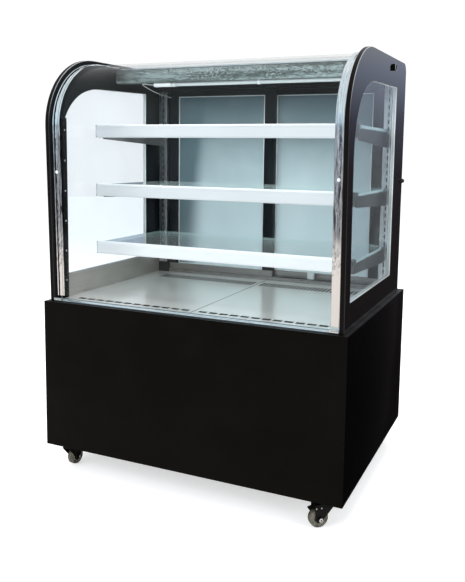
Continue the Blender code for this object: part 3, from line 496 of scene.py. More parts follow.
def glow():
    """Frosted tube of the lamp."""
    g = Graph("lamp_tube")
    ring = g.noise(40.0, 2.0, (1.0, 0.1, 0.1))
    g.set(Base_Color=g.blend(ring, (0.42, 0.47, 0.48), (0.52, 0.57, 0.58)), Roughness=0.25)
    return g.set(Emission_Color=(0.93, 0.98, 1.0), Emission_Strength=0.08).material


def moulded(name, dark, light, rough=(0.36, 0.52), sheen=0.4):
    """Moulded or painted piece with a fine grain and uneven tone."""
    g = Graph(name)
    colour = g.blend(g.spread(g.noise(22.0, 4.0), 0.35, 0.7), dark, light)
    g.set(Base_Color=colour, Specular_IOR_Level=sheen)
    g.rough(g.noise(60.0, 3.0), *rough)
    return g.bump(g.noise(900.0, 2.0), 0.06, 0.0002).material


def fins(name, dark, light):
    """Edges of pressed fins across the coil: bright lines, with painted shade as dark lines for the gaps
    between them.
    """
    g = Graph(name)
    wave = g.node("ShaderNodeTexWave", bands_direction="X")
    g.feed(wave.inputs["Vector"], g.place)
    wave.inputs["Scale"].default_value = 90.0
    lines = wave.outputs["Fac"]
    # Painted shade: the dark bands stand for the shadowed gaps between the fins.
    g.set(Base_Color=g.blend(lines, dark, light), Metallic=0.9)
    g.rough(lines, 0.55, 0.30, 0.0, 1.0)
    return g.bump(lines, 0.6, 0.001).material


def tread():
    """Grey-olive moulded tyre."""
    g = Graph("tyre_olive")
    tone = g.spread(g.noise(90.0, 4.0), 0.35, 0.65)
    g.set(Base_Color=g.blend(tone, (0.034, 0.033, 0.023), (0.165, 0.150, 0.110)))
    g.rough(g.noise(200.0), 0.32, 0.50)
    return g.bump(g.noise(700.0, 3.0), 0.10, 0.0003).material


MATERIALS = {
    "powder": powder_black(),
    "gloss": gloss_black(),
    "printed": printed_glass(),
    "arris": edge_with_painted_highlight(),
    "chrome": chrome(),
    "trim": trim_chrome_painted_reflections(),
    "deck": deck_steel(),
    "liner": brushed("liner_steel", (0.38, 0.35, 0.32), (0.50, 0.46, 0.43), ALONG_Y, (0.30, 0.45), 0.4),
    "roof": roof_steel(),
    "standard": brushed("standard_steel", (0.74, 0.75, 0.74), (0.90, 0.91, 0.90), ALONG_Z),
    "sill": sill_metal(),
    "housing": housing_metal(),
    "panel_edge": panel_edge(),
    "track": brushed("track_aluminium", (0.26, 0.25, 0.24), (0.38, 0.36, 0.35), ALONG_X),
    "zinc": zinc(),
    "anodised": anodised_black(),
    "door_frame": anodised_black(painted_light_below=low("door_glass_left").z - 0.0006),
    "front_pane": pane("front_pane", (0.982, 0.990, 0.992), "X", (0.30, 0.46, 0.46), 0.0, 0.30, 0.0),
    "end_pane": pane("end_pane", (0.935, 0.960, 0.980), "X", (0.56, 0.60, 0.60), 0.03, 0.6),
    "shelf_pane": pane("shelf_pane", (0.955, 0.980, 0.975), "Z", (0.66, 0.84, 0.83), 0.05),
    "door_pane": door_glass(),
    "diffuser": diffuser(),
    "glow": glow(),
    "foam": well_liner(),
    "bracket": moulded("bracket_grey", (0.058, 0.062, 0.061), (0.084, 0.088, 0.086), (0.30, 0.42)),
    "cast": moulded("compressor_black", (0.010, 0.010, 0.010), (0.022, 0.022, 0.022)),
    "fork": moulded("fork_black", (0.0045, 0.0040, 0.0036), (0.0090, 0.0080, 0.0072), (0.30, 0.48), 0.10),
    "hub": moulded("hub_black", (0.0035, 0.0032, 0.0030), (0.0070, 0.0064, 0.0060), (0.30, 0.48), 0.10),
    "cap": moulded("cap_black", (0.0030, 0.0030, 0.0036), (0.0060, 0.0060, 0.0070), (0.34, 0.50), 0.04),
    "pale_ring": moulded("ring_grey", (0.30, 0.29, 0.25), (0.46, 0.45, 0.40), (0.25, 0.40)),
    "plastic": moulded("plastic_black", (0.010, 0.010, 0.011), (0.020, 0.020, 0.021)),
    "button": moulded("button_grey", (0.42, 0.43, 0.44), (0.54, 0.55, 0.56)),
    "white_plastic": moulded("connector_white", (0.70, 0.72, 0.72), (0.84, 0.86, 0.86), (0.3, 0.45)),
    "spacer": moulded("spacer_grey", (0.66, 0.66, 0.65), (0.80, 0.80, 0.79), (0.3, 0.5)),
    "gasket": moulded("gasket_grey", (0.52, 0.55, 0.56), (0.66, 0.69, 0.70), (0.35, 0.5)),
    "rocker_green": moulded("rocker_green", (0.010, 0.200, 0.050), (0.020, 0.280, 0.075), (0.18, 0.30)),
    "rocker_red": moulded("rocker_red", (0.330, 0.012, 0.010), (0.430, 0.020, 0.016), (0.18, 0.30)),
    "lens": moulded("display_lens", (0.016, 0.002, 0.002), (0.030, 0.004, 0.004), (0.05, 0.12)),
    "fins": fins("coil_fins", (0.16, 0.17, 0.18), (0.62, 0.63, 0.64)),
    "coated_fins": fins("coil_fins_coated", (0.006, 0.006, 0.007), (0.022, 0.023, 0.025)),
    "tread": tread(),
}


FINISHES = {
    "gloss": ["rear_service_panel"],
    "zinc": ["bottom_pan"],
    "deck": ["deck_tray_left", "deck_tray_right"],
    "roof": ["roof_panel"],
    "standard": ["shelf_standard_left", "shelf_standard_right"],
    "housing": ["roof_lamp_housing"],
    "track": ["door_track"],
    "anodised": ["rear_frame"],
    "door_frame": ["door_frame_left", "door_frame_right"],
    "end_pane": ["end_window_left", "end_window_right"],
    "shelf_pane": [f"shelf_glass_{level}" for level in LEVELS],
    "door_pane": ["door_glass_left", "door_glass_right"],
    "foam": ["cold_well"],
    "bracket": [f"shelf_bracket_{level}_{side}" for level in LEVELS for side in SIDES],
    "cast": ["compressor"],
    "fins": ["condenser"],
    "coated_fins": ["evaporator"],
    "fork": [*(f"caster_fork_{c}" for c in CORNERS), "brake_pedal_front_left", "brake_pedal_front_right"],
    "plastic": ["thermostat", "power_gland", "condenser_fan", "evaporator_fan"],
    "button": ["button_up", "button_down"],
    "rocker_green": ["light_switch"],
    "rocker_red": ["power_switch"],
}


def finish_nodes():
    for finish, names in FINISHES.items():
        for name in names:
            for holder in NODES[name].material_slots:
                holder.material = MATERIALS[finish]


# -------- shape helpers
def placed(name, data, body, finishes):
    """A mesh or curve as a piece of the object, riding on its body."""
    data.name = name
    for finish in finishes:
        data.materials.append(MATERIALS[finish])
    obj = bpy.data.objects.new(name, data)
    bpy.context.scene.collection.objects.link(obj)
    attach(obj, body)
    return obj


def piece(name, mesh, *finishes, slot, body="cabinet", smooth=35.0):
    """A mesh piece, smooth apart from edges sharper than an angle in degrees."""
    mesh.shade_smooth()
    mesh.set_sharp_from_angle(angle=math.radians(smooth))
    return placed(name, mesh, body, finishes)


def from_bmesh(shape):
    bmesh.ops.recalc_face_normals(shape, faces=shape.faces)
    mesh = bpy.data.meshes.new("piece")
    shape.to_mesh(mesh)
    shape.free()
    return mesh


def add_block(shape, lowest, highest, radius, steps):
    """A block with rounded edges, added to a mesh in the making."""
    made = bmesh.ops.create_cube(shape, size=1.0)["verts"]
    size = Vector(highest) - Vector(lowest)
    middle = (Vector(highest) + Vector(lowest)) / 2
    fitted = Matrix.Translation(middle) @ Matrix.Diagonal((*size, 1.0))
    bmesh.ops.transform(shape, verts=made, matrix=fitted)
    edges = list({edge for vert in made for edge in vert.link_edges})
    bmesh.ops.bevel(shape, geom=edges, offset=radius, segments=steps, profile=0.5, affect="EDGES")


def block(lowest, highest, radius, steps=3):
    shape = bmesh.new()
    add_block(shape, lowest, highest, radius, steps)
    return from_bmesh(shape)


def join_rings(shape, one, two):
    """A band of faces between two rings with the same count of corners."""
    count = len(one)
    return [
        shape.faces.new((one[k], one[(k + 1) % count], two[(k + 1) % count], two[k]))
        for k in range(count)
    ]


def lofted(rings):
    """A closed solid through rings of points, each joined to the next."""
    shape = bmesh.new()
    made = [[shape.verts.new(point) for point in ring] for ring in rings]
    for one, two in zip(made, made[1:]):
        join_rings(shape, one, two)
    shape.faces.new(made[0])
    shape.faces.new(made[-1])
    return from_bmesh(shape)


def extruded(outline, start, end):
    """A closed outline of (y, z) points, drawn along X."""
    return lofted([[(x, y, z) for y, z in outline] for x in (start, end)])


def add_turned(shape, profile, centre, axis, sides=48):
    """A profile of (radius, distance along the axis) points, turned about it. Both ends are
    capped, also where a ring's profile ends at its first point."""
    turn = Vector((0, 0, 1)).rotation_difference(Vector(axis)).to_matrix().to_4x4()
    place = Matrix.Translation(centre) @ turn
    rings = []
    for radius, along in profile:
        if radius < 1e-6:
            rings.append([shape.verts.new(place @ Vector((0, 0, along)))])
            continue
        angles = [math.tau * i / sides for i in range(sides)]
        spots = [Vector((radius * math.cos(a), radius * math.sin(a), along)) for a in angles]
        rings.append([shape.verts.new(place @ spot) for spot in spots])
    for one, two in zip(rings, rings[1:]):
        for i in range(sides):
            k = (i + 1) % sides
            corners = [one[i % len(one)], one[k % len(one)], two[k % len(two)], two[i % len(two)]]
            unique = list(dict.fromkeys(corners))
            if len(unique) > 2:
                shape.faces.new(unique)
    for ring in (rings[0], rings[-1]):
        if len(ring) > 1:
            shape.faces.new(ring)


def turned(profile, centre, axis, sides=48):
    shape = bmesh.new()
    add_turned(shape, profile, centre, axis, sides)
    return from_bmesh(shape)


def mirrored(half):
    """A closed profile from one half of it, repeated at the other end of the axis."""
    profile = half + [(radius, -along) for radius, along in reversed(half)]
    return [*profile, profile[0]]


def head(radius, shoulder, crown, rise):
    """Profile of a small screw or bolt head, from its seat up to its crown."""
    return [(0.0, 0.0), (radius, 0.0), shoulder, crown, (0.0, rise)]


def rounded(corners, radius, steps=4):
    """The outline of corner points with each corner rounded by an arc."""
    points = []
    count = len(corners)
    for i, corner in enumerate(corners):
        here = Vector(corner)
        before = (Vector(corners[i - 1]) - here).normalized()
        after = (Vector(corners[(i + 1) % count]) - here).normalized()
        half = before.angle(after) / 2
        reach = radius / math.tan(half)
        centre = here + (before + after).normalized() * (radius / math.sin(half))
        start, end = here + before * reach - centre, here + after * reach - centre
        turn = start.angle_signed(end)
        for k in range(steps + 1):
            spot = centre + Matrix.Rotation(-turn * k / steps, 2) @ start
            points.append((spot.x, spot.y))
    return points


def wire(points, radius):
    """A thin wire along a smooth line through the points."""
    curve = bpy.data.curves.new("wire", "CURVE")
    curve.dimensions = "3D"
    curve.bevel_depth = radius
    curve.bevel_resolution = 3
    curve.use_fill_caps = True
    spline = curve.splines.new("BEZIER")
    spline.bezier_points.add(len(points) - 1)
    for knot, point in zip(spline.bezier_points, points):
        knot.co = point
        knot.handle_left_type = knot.handle_right_type = "AUTO"
    spline.resolution_u = 6
    return curve


# -------- outlines in Y and Z
def panel_loops():
    """The end panel's outer outline and its window's, each a convex loop of (y, z) points."""
    spots = {(round(v.co.y, 5), round(v.co.z, 5)) for v in NODES["end_panel_right"].data.vertices}
    outer = hull(sorted(spots))
    return outer, hull(sorted(spots - set(outer)))


def hull(spots):
    """The convex outline round the points, from its low front corner up the front."""
    loop = [spots[i] for i in convex_hull_2d([Vector(s) for s in spots])]
    area = sum(a[0] * b[1] - b[0] * a[1] for a, b in zip(loop, loop[1:] + loop[:1]))
    if area > 0:
        loop.reverse()
    first = min(range(len(loop)), key=lambda i: loop[i][0] + loop[i][1])
    return loop[first:] + loop[:first]


def smoothed(line, parts, closed=False):
    """A Catmull-Rom line through the points, kept straight on its long stretches."""
    count = len(line)
    points = []
    for i in range(count if closed else count - 1):
        near = range(i - 1, i + 3)
        near = [k % count if closed else min(max(k, 0), count - 1) for k in near]
        a, b, c, d = (Vector(line[k]) for k in near)
        span = (c - b).length
        if span > 0.05:
            points.append(b)
            continue
        into = b - a if (b - a).length < 0.05 else (b - a).normalized() * span
        out_of = d - c if (d - c).length < 0.05 else (d - c).normalized() * span
        start_pull, end_pull = (into + c - b) / 2, (c - b + out_of) / 2
        for k in range(parts):
            t = k / parts
            t2, t3 = t * t, t * t * t
            spot = b * (2 * t3 - 3 * t2 + 1) + start_pull * (t3 - 2 * t2 + t)
            points.append(spot + c * (3 * t2 - 2 * t3) + end_pull * (t3 - t2))
    if not closed:
        points.append(Vector(line[-1]))
    return [tuple(p) for p in points]


def outward(line, i, closed=False):
    """Unit normal of the line at point i, to its left-hand side as it runs up the front."""
    count = len(line)
    before = Vector(line[(i - 1) % count] if closed else line[max(i - 1, 0)])
    after = Vector(line[(i + 1) % count] if closed else line[min(i + 1, count - 1)])
    along = (after - before).normalized()
    return Vector((-along.y, along.x))


def moved(line, distance, closed=False):
    """The line moved outward, or inward where distance is negative."""
    return [tuple(Vector(p) + outward(line, i, closed) * distance) for i, p in enumerate(line)]


def front_run(distance, foot_z, end_y):
    """The end panel's front and top edge at a set-back, from foot_z up and over to end_y."""
    outer = panel_loops()[0]
    top_rear = max(range(len(outer)), key=lambda i: outer[i][1] + outer[i][0] * 0.05)
    line = moved(smoothed(outer[: top_rear + 1], 4), -distance)
    kept = []
    for point, following in zip(line, line[1:]):
        kept.append(point)
        if point[0] > -0.2 and following[0] >= end_y:
            part = (end_y - point[0]) / (following[0] - point[0])
            kept.append((end_y, point[1] + part * (following[1] - point[1])))
            break
    slant = (kept[1][0] - kept[0][0]) / (kept[1][1] - kept[0][1])
    kept[0] = (kept[0][0] + (foot_z - kept[0][1]) * slant, foot_z)
    return kept


def swept(line, section):
    """A closed section of (x, height over the line) points drawn along a (y, z) line."""
    rings = []
    for i, (y, z) in enumerate(line):
        out = outward(line, i)
        rings.append([(x, y + out.x * rise, z + out.y * rise) for x, rise in section])
    return lofted(rings)


# -------- base cabinet
EDGE = 0.0012  # radius of the folded sheet's edges
BEAD = 0.45  # share of a thin panel's thickness that its edge is rounded by
GAP = 0.0002  # kept between a piece and the face that it lies on


def base_front():
    lowest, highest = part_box("base_front_panel")
    mesh = block(lowest, highest, min(EDGE, (highest.y - lowest.y) * BEAD))
    skin = piece("front_skin", mesh, "powder", slot="base_front")
    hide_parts("base_front_panel")


def base_sides():
    for side in SIDES:
        lowest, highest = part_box(f"base_side_panel_{side}")
        mesh = block(lowest, highest, (highest.x - lowest.x) * BEAD)
        skin = piece(f"side_skin_{side}", mesh, "gloss", slot="base_side")
        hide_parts(f"base_side_panel_{side}")


def side_liners():
    """Steel upstand along the foot of each end panel, inside the case."""
    front, rear = high("front_sill").y + 0.003, low("rear_frame").y - 0.0004
    top = low("end_window_left").z - 0.001
    for side, sign in SIDES.items():
        inner, outer = sorted((sign * (PANEL_IN - GAP), sign * (PANEL_IN - 0.0012)))
        mesh = block((inner, front, DECK_Z + GAP), (outer, rear, top), 0.0003, 2)
        piece(f"side_liner_{side}", mesh, "liner", slot="stainless")


def sill():
    """The channel at the glass's foot: a low lip behind the glass and a rolled edge in front of it."""
    lowest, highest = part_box("front_sill")
    front, rear, foot = lowest.y, highest.y, lowest.z
    corners = [
        (front, foot),
        (rear, foot),
        (rear, foot + 0.0036),
        (rear - 0.0058, foot + 0.0044),
        (rear - 0.0062, foot + 0.0020),
        (rear - 0.0130, foot + 0.0020),
        (rear - 0.0134, foot + 0.0062),
        (rear - 0.0170, foot + 0.0062),
        (rear - 0.0182, foot + 0.0046),
        (front + 0.0032, foot + 0.0042),
        (front, foot + 0.0028),
    ]
    outline = rounded(corners, 0.0005, 3)
    for side, ends in {"left": (lowest.x, -0.0305), "right": (-0.0295, highest.x)}.items():
        strip = piece(f"sill_{side}", extruded(outline, *ends), "sill", slot="aluminium")
        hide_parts("front_sill")


def sill_corners():
    """Bright cover at the foot of each trim."""
    sill_front = low("front_sill").y
    for side in SIDES:
        trim_low, trim_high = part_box(f"chrome_trim_{side}")
        lowest = (trim_low.x - 0.0005, sill_front - 0.0050, BASE_TOP + 0.0004)
        highest = (trim_high.x, sill_front - 0.0006, BASE_TOP + 0.0100)
        piece(f"foot_cover_{side}", block(lowest, highest, 0.0016, 4), "chrome", slot="chrome")


# -------- end panels, glass and trims
PANEL_ARRIS = 0.0013  # ground and polished corner of the panels' glass
PANEL_FINISHES = ("printed", "arris", "panel_edge", "spacer", "anodised")
OUTSIDE, ARRIS, RIM, WINDOW_RIM, INSIDE = range(5)  # the panel's faces, in the order of its finishes
GLASS_THICK = 0.006
TRIM_SCREW = 0.371  # height of each trim's screw over the base
TRIM_RISE = 0.0029
# Half of the trim's section: share of its width, and share of its rise
TRIM_BEAD = [(0.0, 0.25), (0.02, 0.62), (0.06, 0.92), (0.11, 1.0), (0.16, 0.90), (0.19, 0.62), (0.22, 0.50)]
TRIM_CROWN = [(0.30, 0.66), (0.40, 0.76), (0.50, 0.80), (0.60, 0.76), (0.70, 0.66)]


def end_panels():
    """Printed glass panels with polished corners and a cut-out for the window, edged by its spacer."""
    outer, window = (smoothed(loop, 3, closed=True) for loop in panel_loops())
    for side, sign in SIDES.items():
        shape = bmesh.new()
        out, inside, step = sign * PANEL_OUT, sign * PANEL_IN, sign * PANEL_ARRIS
        layers = [(out, PANEL_ARRIS), (out - step, 0.0), (inside + step, 0.0), (inside, PANEL_ARRIS)]
        rims = []
        for loop, way, rim_face in ((outer, -1, RIM), (window, 1, WINDOW_RIM)):
            rings = []
            for x, inset in layers:
                line = moved(loop, inset * way, closed=True) if inset else loop
                rings.append([shape.verts.new((x, y, z)) for y, z in line])
            for band, (one, two) in enumerate(zip(rings, rings[1:])):
                for face in join_rings(shape, one, two):
                    face.material_index = rim_face if band == 1 else ARRIS
            rims.append(rings)
        for layer, index in ((0, OUTSIDE), (-1, INSIDE)):
            rounds = [rings[layer] for rings in rims]
            edges = [shape.edges.get(pair) for ring in rounds for pair in zip(ring, ring[1:] + ring[:1])]
            made = bmesh.ops.triangle_fill(shape, use_beauty=True, use_dissolve=False, edges=edges)["geom"]
            for face in (g for g in made if isinstance(g, bmesh.types.BMFace)):
                face.material_index = index
        mesh = from_bmesh(shape)
        panel = piece(f"panel_{side}", mesh, *PANEL_FINISHES, slot="black_glass", smooth=20.0)
        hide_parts(f"end_panel_{side}")


def curved_glass():
    """The front pane, bent in one smooth sweep."""
    lowest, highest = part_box("front_glass")
    line = front_run(lowest.y - low("end_panel_right").y, lowest.z, highest.y - 0.0004)
    section = [(lowest.x, -GLASS_THICK), (highest.x, -GLASS_THICK), (highest.x, 0.0), (lowest.x, 0.0)]
    sheet = piece("curved_glass", swept(line, section), "front_pane", slot="clear_glass")
    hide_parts("front_glass")


def trims():
    """Bright strip over each side edge of the glass: a bead along both edges, crowned between."""
    profile = TRIM_BEAD + TRIM_CROWN + [(1.0 - across, share) for across, share in reversed(TRIM_BEAD)]
    set_back = low("front_glass").y - low("end_panel_right").y - 0.0001
    screw_z = BASE_TOP + TRIM_SCREW
    for side in SIDES:
        lowest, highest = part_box(f"chrome_trim_{side}")
        line = front_run(set_back, lowest.z, highest.y - 0.0004)
        width = highest.x - lowest.x
        crown = [(lowest.x + width * across, TRIM_RISE * share) for across, share in profile]
        section = [(lowest.x, 0.0), *crown, (highest.x, 0.0)]
        strip = piece(f"trim_{side}", swept(line, section), "trim", slot="chrome", smooth=50.0)
        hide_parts(f"chrome_trim_{side}")
        above = next(i for i, point in enumerate(line) if point[1] > screw_z)
        start, end = Vector(line[above - 1]), Vector(line[above])
        spot = start + (end - start) * ((screw_z - start.y) / (end.y - start.y))
        out = outward(line, above)
        place = ((lowest.x + highest.x) / 2, *(spot + out * (TRIM_RISE * 0.80 + 0.0001)))
        # Painted highlight: the screw's cap is white plastic, made white to stand for the glint that the
        # trim shows here.
        screw = head(0.0046, (0.0044, 0.0007), (0.0028, 0.0013), 0.0015)
        mesh = turned(screw, place, (0, out.x, out.y), 28)
        piece(f"trim_screw_painted_glint_{side}", mesh, "white_plastic", slot="chrome")


# -------- case details
CAP_SPOT = (0.114, 0.680)  # screw cap on the end panel: Y, and height over the base
DOME_SPOT = (0.290, 0.352)
CAP_GLINT_RING = [(0.0086, 0.0066), (0.0097, 0.0064), (0.0100, 0.0074), (0.0096, 0.0084), (0.0086, 0.0082)]
CAP_PLUG = [(0.0, GAP), (0.0098, GAP), (0.0094, 0.0062), (0.0084, 0.0062), (0.0084, 0.0080)]
CAP_SOCKET = [(0.0034, 0.0088), (0.0028, 0.0070), (0.0, 0.0070)]
DOME_FOOT = [(0.0, GAP), (0.0080, GAP), (0.0080, 0.0016), (0.0064, 0.0034)]


def end_caps():
    """Screw covers on the outside of each end panel: a ringed one, whose bright ring is a painted highlight
    on the cap's rim, and a domed one.
    """
    crown = [(0.0064 * math.cos(a), 0.0036 + 0.0062 * math.sin(a)) for a in (0.2, 0.5, 0.8, 1.1, 1.4)]
    for side, sign in SIDES.items():
        face, axis = sign * PANEL_OUT, (sign, 0, 0)
        spot = (face, CAP_SPOT[0], BASE_TOP + CAP_SPOT[1])
        # Painted highlight: a bright steel ring round the cap's end stands for the glint on its rim.
        mesh = turned([*CAP_GLINT_RING, CAP_GLINT_RING[0]], spot, axis)
        piece(f"cap_glint_ring_{side}", mesh, "standard", slot="chrome")
        mesh = turned(CAP_PLUG + CAP_SOCKET, spot, axis)
        piece(f"cap_plug_{side}", mesh, "cap", slot="plastic_black")
        spot = (face, DOME_SPOT[0], BASE_TOP + DOME_SPOT[1])
        mesh = turned([*DOME_FOOT, *crown, (0.0, 0.0099)], spot, axis)
        piece(f"cap_dome_{side}", mesh, "plastic", slot="plastic_black")


STRIP_DEEP = 0.018  # corner strip, from the glass back along the end panel
STRIP_TOP = 0.525  # its upper end over the base
STRIP_SCREWS = 6


def corner_strips():
    """Black strip up the inside of each end panel, just behind the glass, with its screws."""
    front = low("end_window_left").y - 0.0040
    rear = front + 0.004 + STRIP_DEEP
    foot, top = DECK_Z + 0.0004, BASE_TOP + STRIP_TOP
    screw = head(0.0030, (0.0028, 0.0010), (0.0018, 0.0016), 0.0017)
    for side, sign in SIDES.items():
        inner, outer = sorted((sign * (PANEL_IN - GAP), sign * (PANEL_IN - 0.0090)))
        mesh = block((inner, front, foot), (outer, rear, top), 0.0012)
        piece(f"corner_strip_{side}", mesh, "panel_edge", slot="frame_black")
        shape = bmesh.new()
        for k in range(STRIP_SCREWS):
            up = foot + (top - foot) * (k + 0.6) / STRIP_SCREWS
            spot = (sign * (PANEL_IN - 0.0088), (front + rear) / 2, up)
            add_turned(shape, screw, spot, (-sign, 0, 0), 20)
        piece(f"strip_screws_{side}", from_bmesh(shape), "standard", slot="zinc")


def bar_outline(lowest, highest):
    """The bar's section: a rounded front with a shallow groove under its top lip."""
    front, rear = lowest.y, highest.y
    groove = lowest.z + (highest.z - lowest.z) * 0.80
    soft = rounded([(front, lowest.z), (rear, lowest.z), (rear, highest.z), (front, highest.z)], 0.0065, 8)
    line = [(min(y, rear), z) for y, z in soft]
    deep, half, floor = front + 0.0009, 0.0012, 0.0005
    notch = [(front, groove + half), (deep, groove + floor), (deep, groove - floor), (front, groove - half)]
    flat = [i for i in range(len(line)) if abs(line[i][0] - front) < 1e-5]
    upper = max(flat, key=lambda i: line[i][1])
    lower = min(flat, key=lambda i: line[i][1])
    if (upper + 1) % len(line) == lower:
        return line[: upper + 1] + notch + line[upper + 1 :]
    return line[: lower + 1] + notch[::-1] + line[lower + 1 :]


BAR_PLUG = {"left": 0.0018, "right": 0.0140}  # how far each plug covers the bar's end
PLUG_INSET = Vector((0, 0.0004, 0.0004))


def bars():
    """Frosted light bars: soft corners, a groove along the front and a plug at each end."""
    for level in LEVELS:
        lowest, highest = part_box(f"light_bar_{level}")
        ends = lowest.x + BAR_PLUG["left"], highest.x - BAR_PLUG["right"]
        mesh = extruded(bar_outline(lowest, highest), *ends)
        bar = piece(f"bar_tube_{level}", mesh, "diffuser", slot="diffuser")
        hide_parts(f"light_bar_{level}")
        for side, sign in SIDES.items():
            end = highest.x if sign > 0 else lowest.x
            near, far = lowest + PLUG_INSET, highest - PLUG_INSET
            near.x, far.x = sorted((end, end - sign * (BAR_PLUG[side] - GAP)))
            piece(f"bar_plug_{level}_{side}", block(near, far, 0.0006, 2), "bracket", slot="diffuser")


def bracket_bolts():
    """A bolt in each shelf bracket's root."""
    bolt = [(0.0, GAP), (0.0042, GAP), (0.0042, 0.0016), (0.0030, 0.0026), (0.0, 0.0029)]
    for level in LEVELS:
        for side, sign in SIDES.items():
            arm_low, arm_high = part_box(f"shelf_bracket_{level}_{side}")
            inner = arm_low.x if sign > 0 else arm_high.x
            spot = (inner, arm_high.y - 0.026, arm_high.z - 0.016)
            mesh = turned(bolt, spot, (-sign, 0, 0), 24)
            piece(f"bracket_bolt_{level}_{side}", mesh, "chrome", slot="chrome")


CONNECTOR_LONG = 0.060


def lamp_fittings():
    """The lamp's tube, the connector block at its left end, three clips, and the lead."""
    tube_low, tube_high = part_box("roof_lamp_tube")
    y, z = (tube_low.y + tube_high.y) / 2, (tube_low.z + tube_high.z) / 2
    radius = (tube_high.z - tube_low.z) / 2
    start = tube_low.x + CONNECTOR_LONG + 0.0004
    long = tube_high.x - start
    soft = 0.0012
    profile = [(0.0, 0.0), (radius - soft, 0.0), (radius, soft)]
    profile += [(radius, long - soft), (radius - soft, long), (0.0, long)]
    lamp = piece("lamp_tube", turned(profile, (start, y, z), (1, 0, 0), 40), "glow", slot="lamp")
    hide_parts("roof_lamp_tube")
    root = Vector((tube_low.x, y, z))
    far = (start - 0.0004, y + 0.0085, z + 0.0056)
    mesh = block(root - Vector((0, 0.0085, 0.0060)), far, 0.0016)
    piece("lamp_connector", mesh, "white_plastic", slot="lamp")
    inner, outer = radius + GAP, radius + 0.0016
    ring = [(inner, -0.003), (outer - 0.0004, -0.003), (outer, -0.0024)]
    ring += [(outer, 0.0024), (outer - 0.0004, 0.003), (inner, 0.003), (inner, -0.003)]
    for i, x in enumerate((start + 0.008, (start + tube_high.x) / 2, tube_high.x - 0.010)):
        mesh = turned(ring, (x, y, z), (1, 0, 0), 32)
        piece(f"lamp_clip_{i + 1}", mesh, "white_plastic", slot="lamp")
    points = [
        root - Vector((0.0005, 0, 0)),
        root + Vector((-0.022, 0.002, 0.002)),
        root + Vector((-0.056, 0.020, 0.006)),
        root + Vector((-0.080, 0.080, 0.002)),
        root + Vector((-0.093, 0.190, -0.011)),
        Vector((root.x - 0.096, low("rear_frame").y - 0.0020, z - 0.016)),
    ]
    placed("lamp_lead", wire(points, 0.0012), "cabinet", ["white_plastic"])


def roof_seal():
    """Dark seal under the line where the curved glass meets the roof sheet."""
    edge = low("roof_panel").y
    top = min(high("front_glass").z, high("roof_panel").z) - GLASS_THICK - 0.0016
    half = PANEL_IN - 0.0008
    mesh = block((-half, edge - 0.0100, top - 0.0030), (half, edge - 0.0030, top), 0.0010)
    piece("roof_seal", mesh, "plastic", slot="plastic_black")


def door_details():
    """Glazing bead round the front of each door's pane."""
    bead = 0.0024
    for side in SIDES:
        front = low(f"door_frame_{side}").y
        pane_low, pane_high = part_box(f"door_glass_{side}")
        x0, x1, z0, z1 = pane_low.x, pane_high.x, pane_low.z, pane_high.z
        spans = [(x0, z0, x0 + bead, z1), (x1 - bead, z0, x1, z1)]
        spans += [(x0 + bead, z0, x1 - bead, z0 + bead), (x0 + bead, z1 - bead, x1 - bead, z1)]
        shape = bmesh.new()
        for left, foot, right, top in spans:
            add_block(shape, (left, front - 0.0007, foot), (right, front + 0.0040, top), 0.0005, 2)
        mesh = from_bmesh(shape)
        piece(f"glazing_bead_{side}", mesh, "gasket", slot="frame_black", body=f"{side}_door")


def sensor_clip():
    """The thermostat's sensor in its clip, on the inside of the right door's bottom rail."""
    front = low("door_track").y
    foot = DECK_Z + 0.0190 - 0.0023
    mesh = block((0.147, front - 0.0060, foot), (0.171, front - 0.0006, foot + 0.022), 0.0016)
    piece("sensor_clip", mesh, "gasket", slot="aluminium")


def rear_details():
    """Screws round the service panel, and the thermostat's display lens."""
    lowest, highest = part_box("rear_service_panel")
    left, right = lowest.x + 0.016, highest.x - 0.016
    foot, top = lowest.z + 0.014, highest.z - 0.014
    spots = [(x, z) for z in (foot, top) for x in (left, 0.0, right)]
    spots += [(x, (foot + top) / 2) for x in (left, right)]
    screw = head(0.0040, (0.0036, 0.0012), (0.0022, 0.0019), 0.0020)
    shape = bmesh.new()
    for x, z in spots:
        add_turned(shape, screw, (x, highest.y + 0.0001, z), (0, 1, 0), 24)
    piece("panel_screws", from_bmesh(shape), "standard", slot="zinc")
    middle = (low("thermostat") + high("thermostat")) / 2
    face = high("thermostat").y
    near = (middle.x - 0.031, face + 0.0001, middle.z - 0.010)
    far = (middle.x + 0.006, face + 0.0007, middle.z + 0.010)
    piece("display_lens", block(near, far, 0.0003, 2), "lens", slot="plastic_black")


# -------- casters
CHEEK_OUT = 0.0135  # outer face of a fork's cheek from the wheel's middle
BRAKE_BOLTS = ((0.0100, 0.0285), (-0.0040, 0.0285))  # along the trail and up, from the axle
TYRE_SHOULDER = 0.0040
TYRE_FOOT = 0.64  # where the tyre begins, as a share of the wheel's radius


def caster_details():
    for corner in CORNERS:
        roll = joint(f"roll_{corner}")
        centre, axis = Vector(roll["pos_m"]), Vector(roll["axis"]).normalized()
        spots = [v.co - centre for v in NODES[f"caster_wheel_{corner}"].data.vertices]
        half = max(abs(s.dot(axis)) for s in spots)
        radius = max((s - axis * s.dot(axis)).length for s in spots)
        wheel(corner, centre, axis, radius, half)
        axle_ends(corner, centre, axis)
        if corner.startswith("front"):
            brake_bolts(corner, centre, axis)


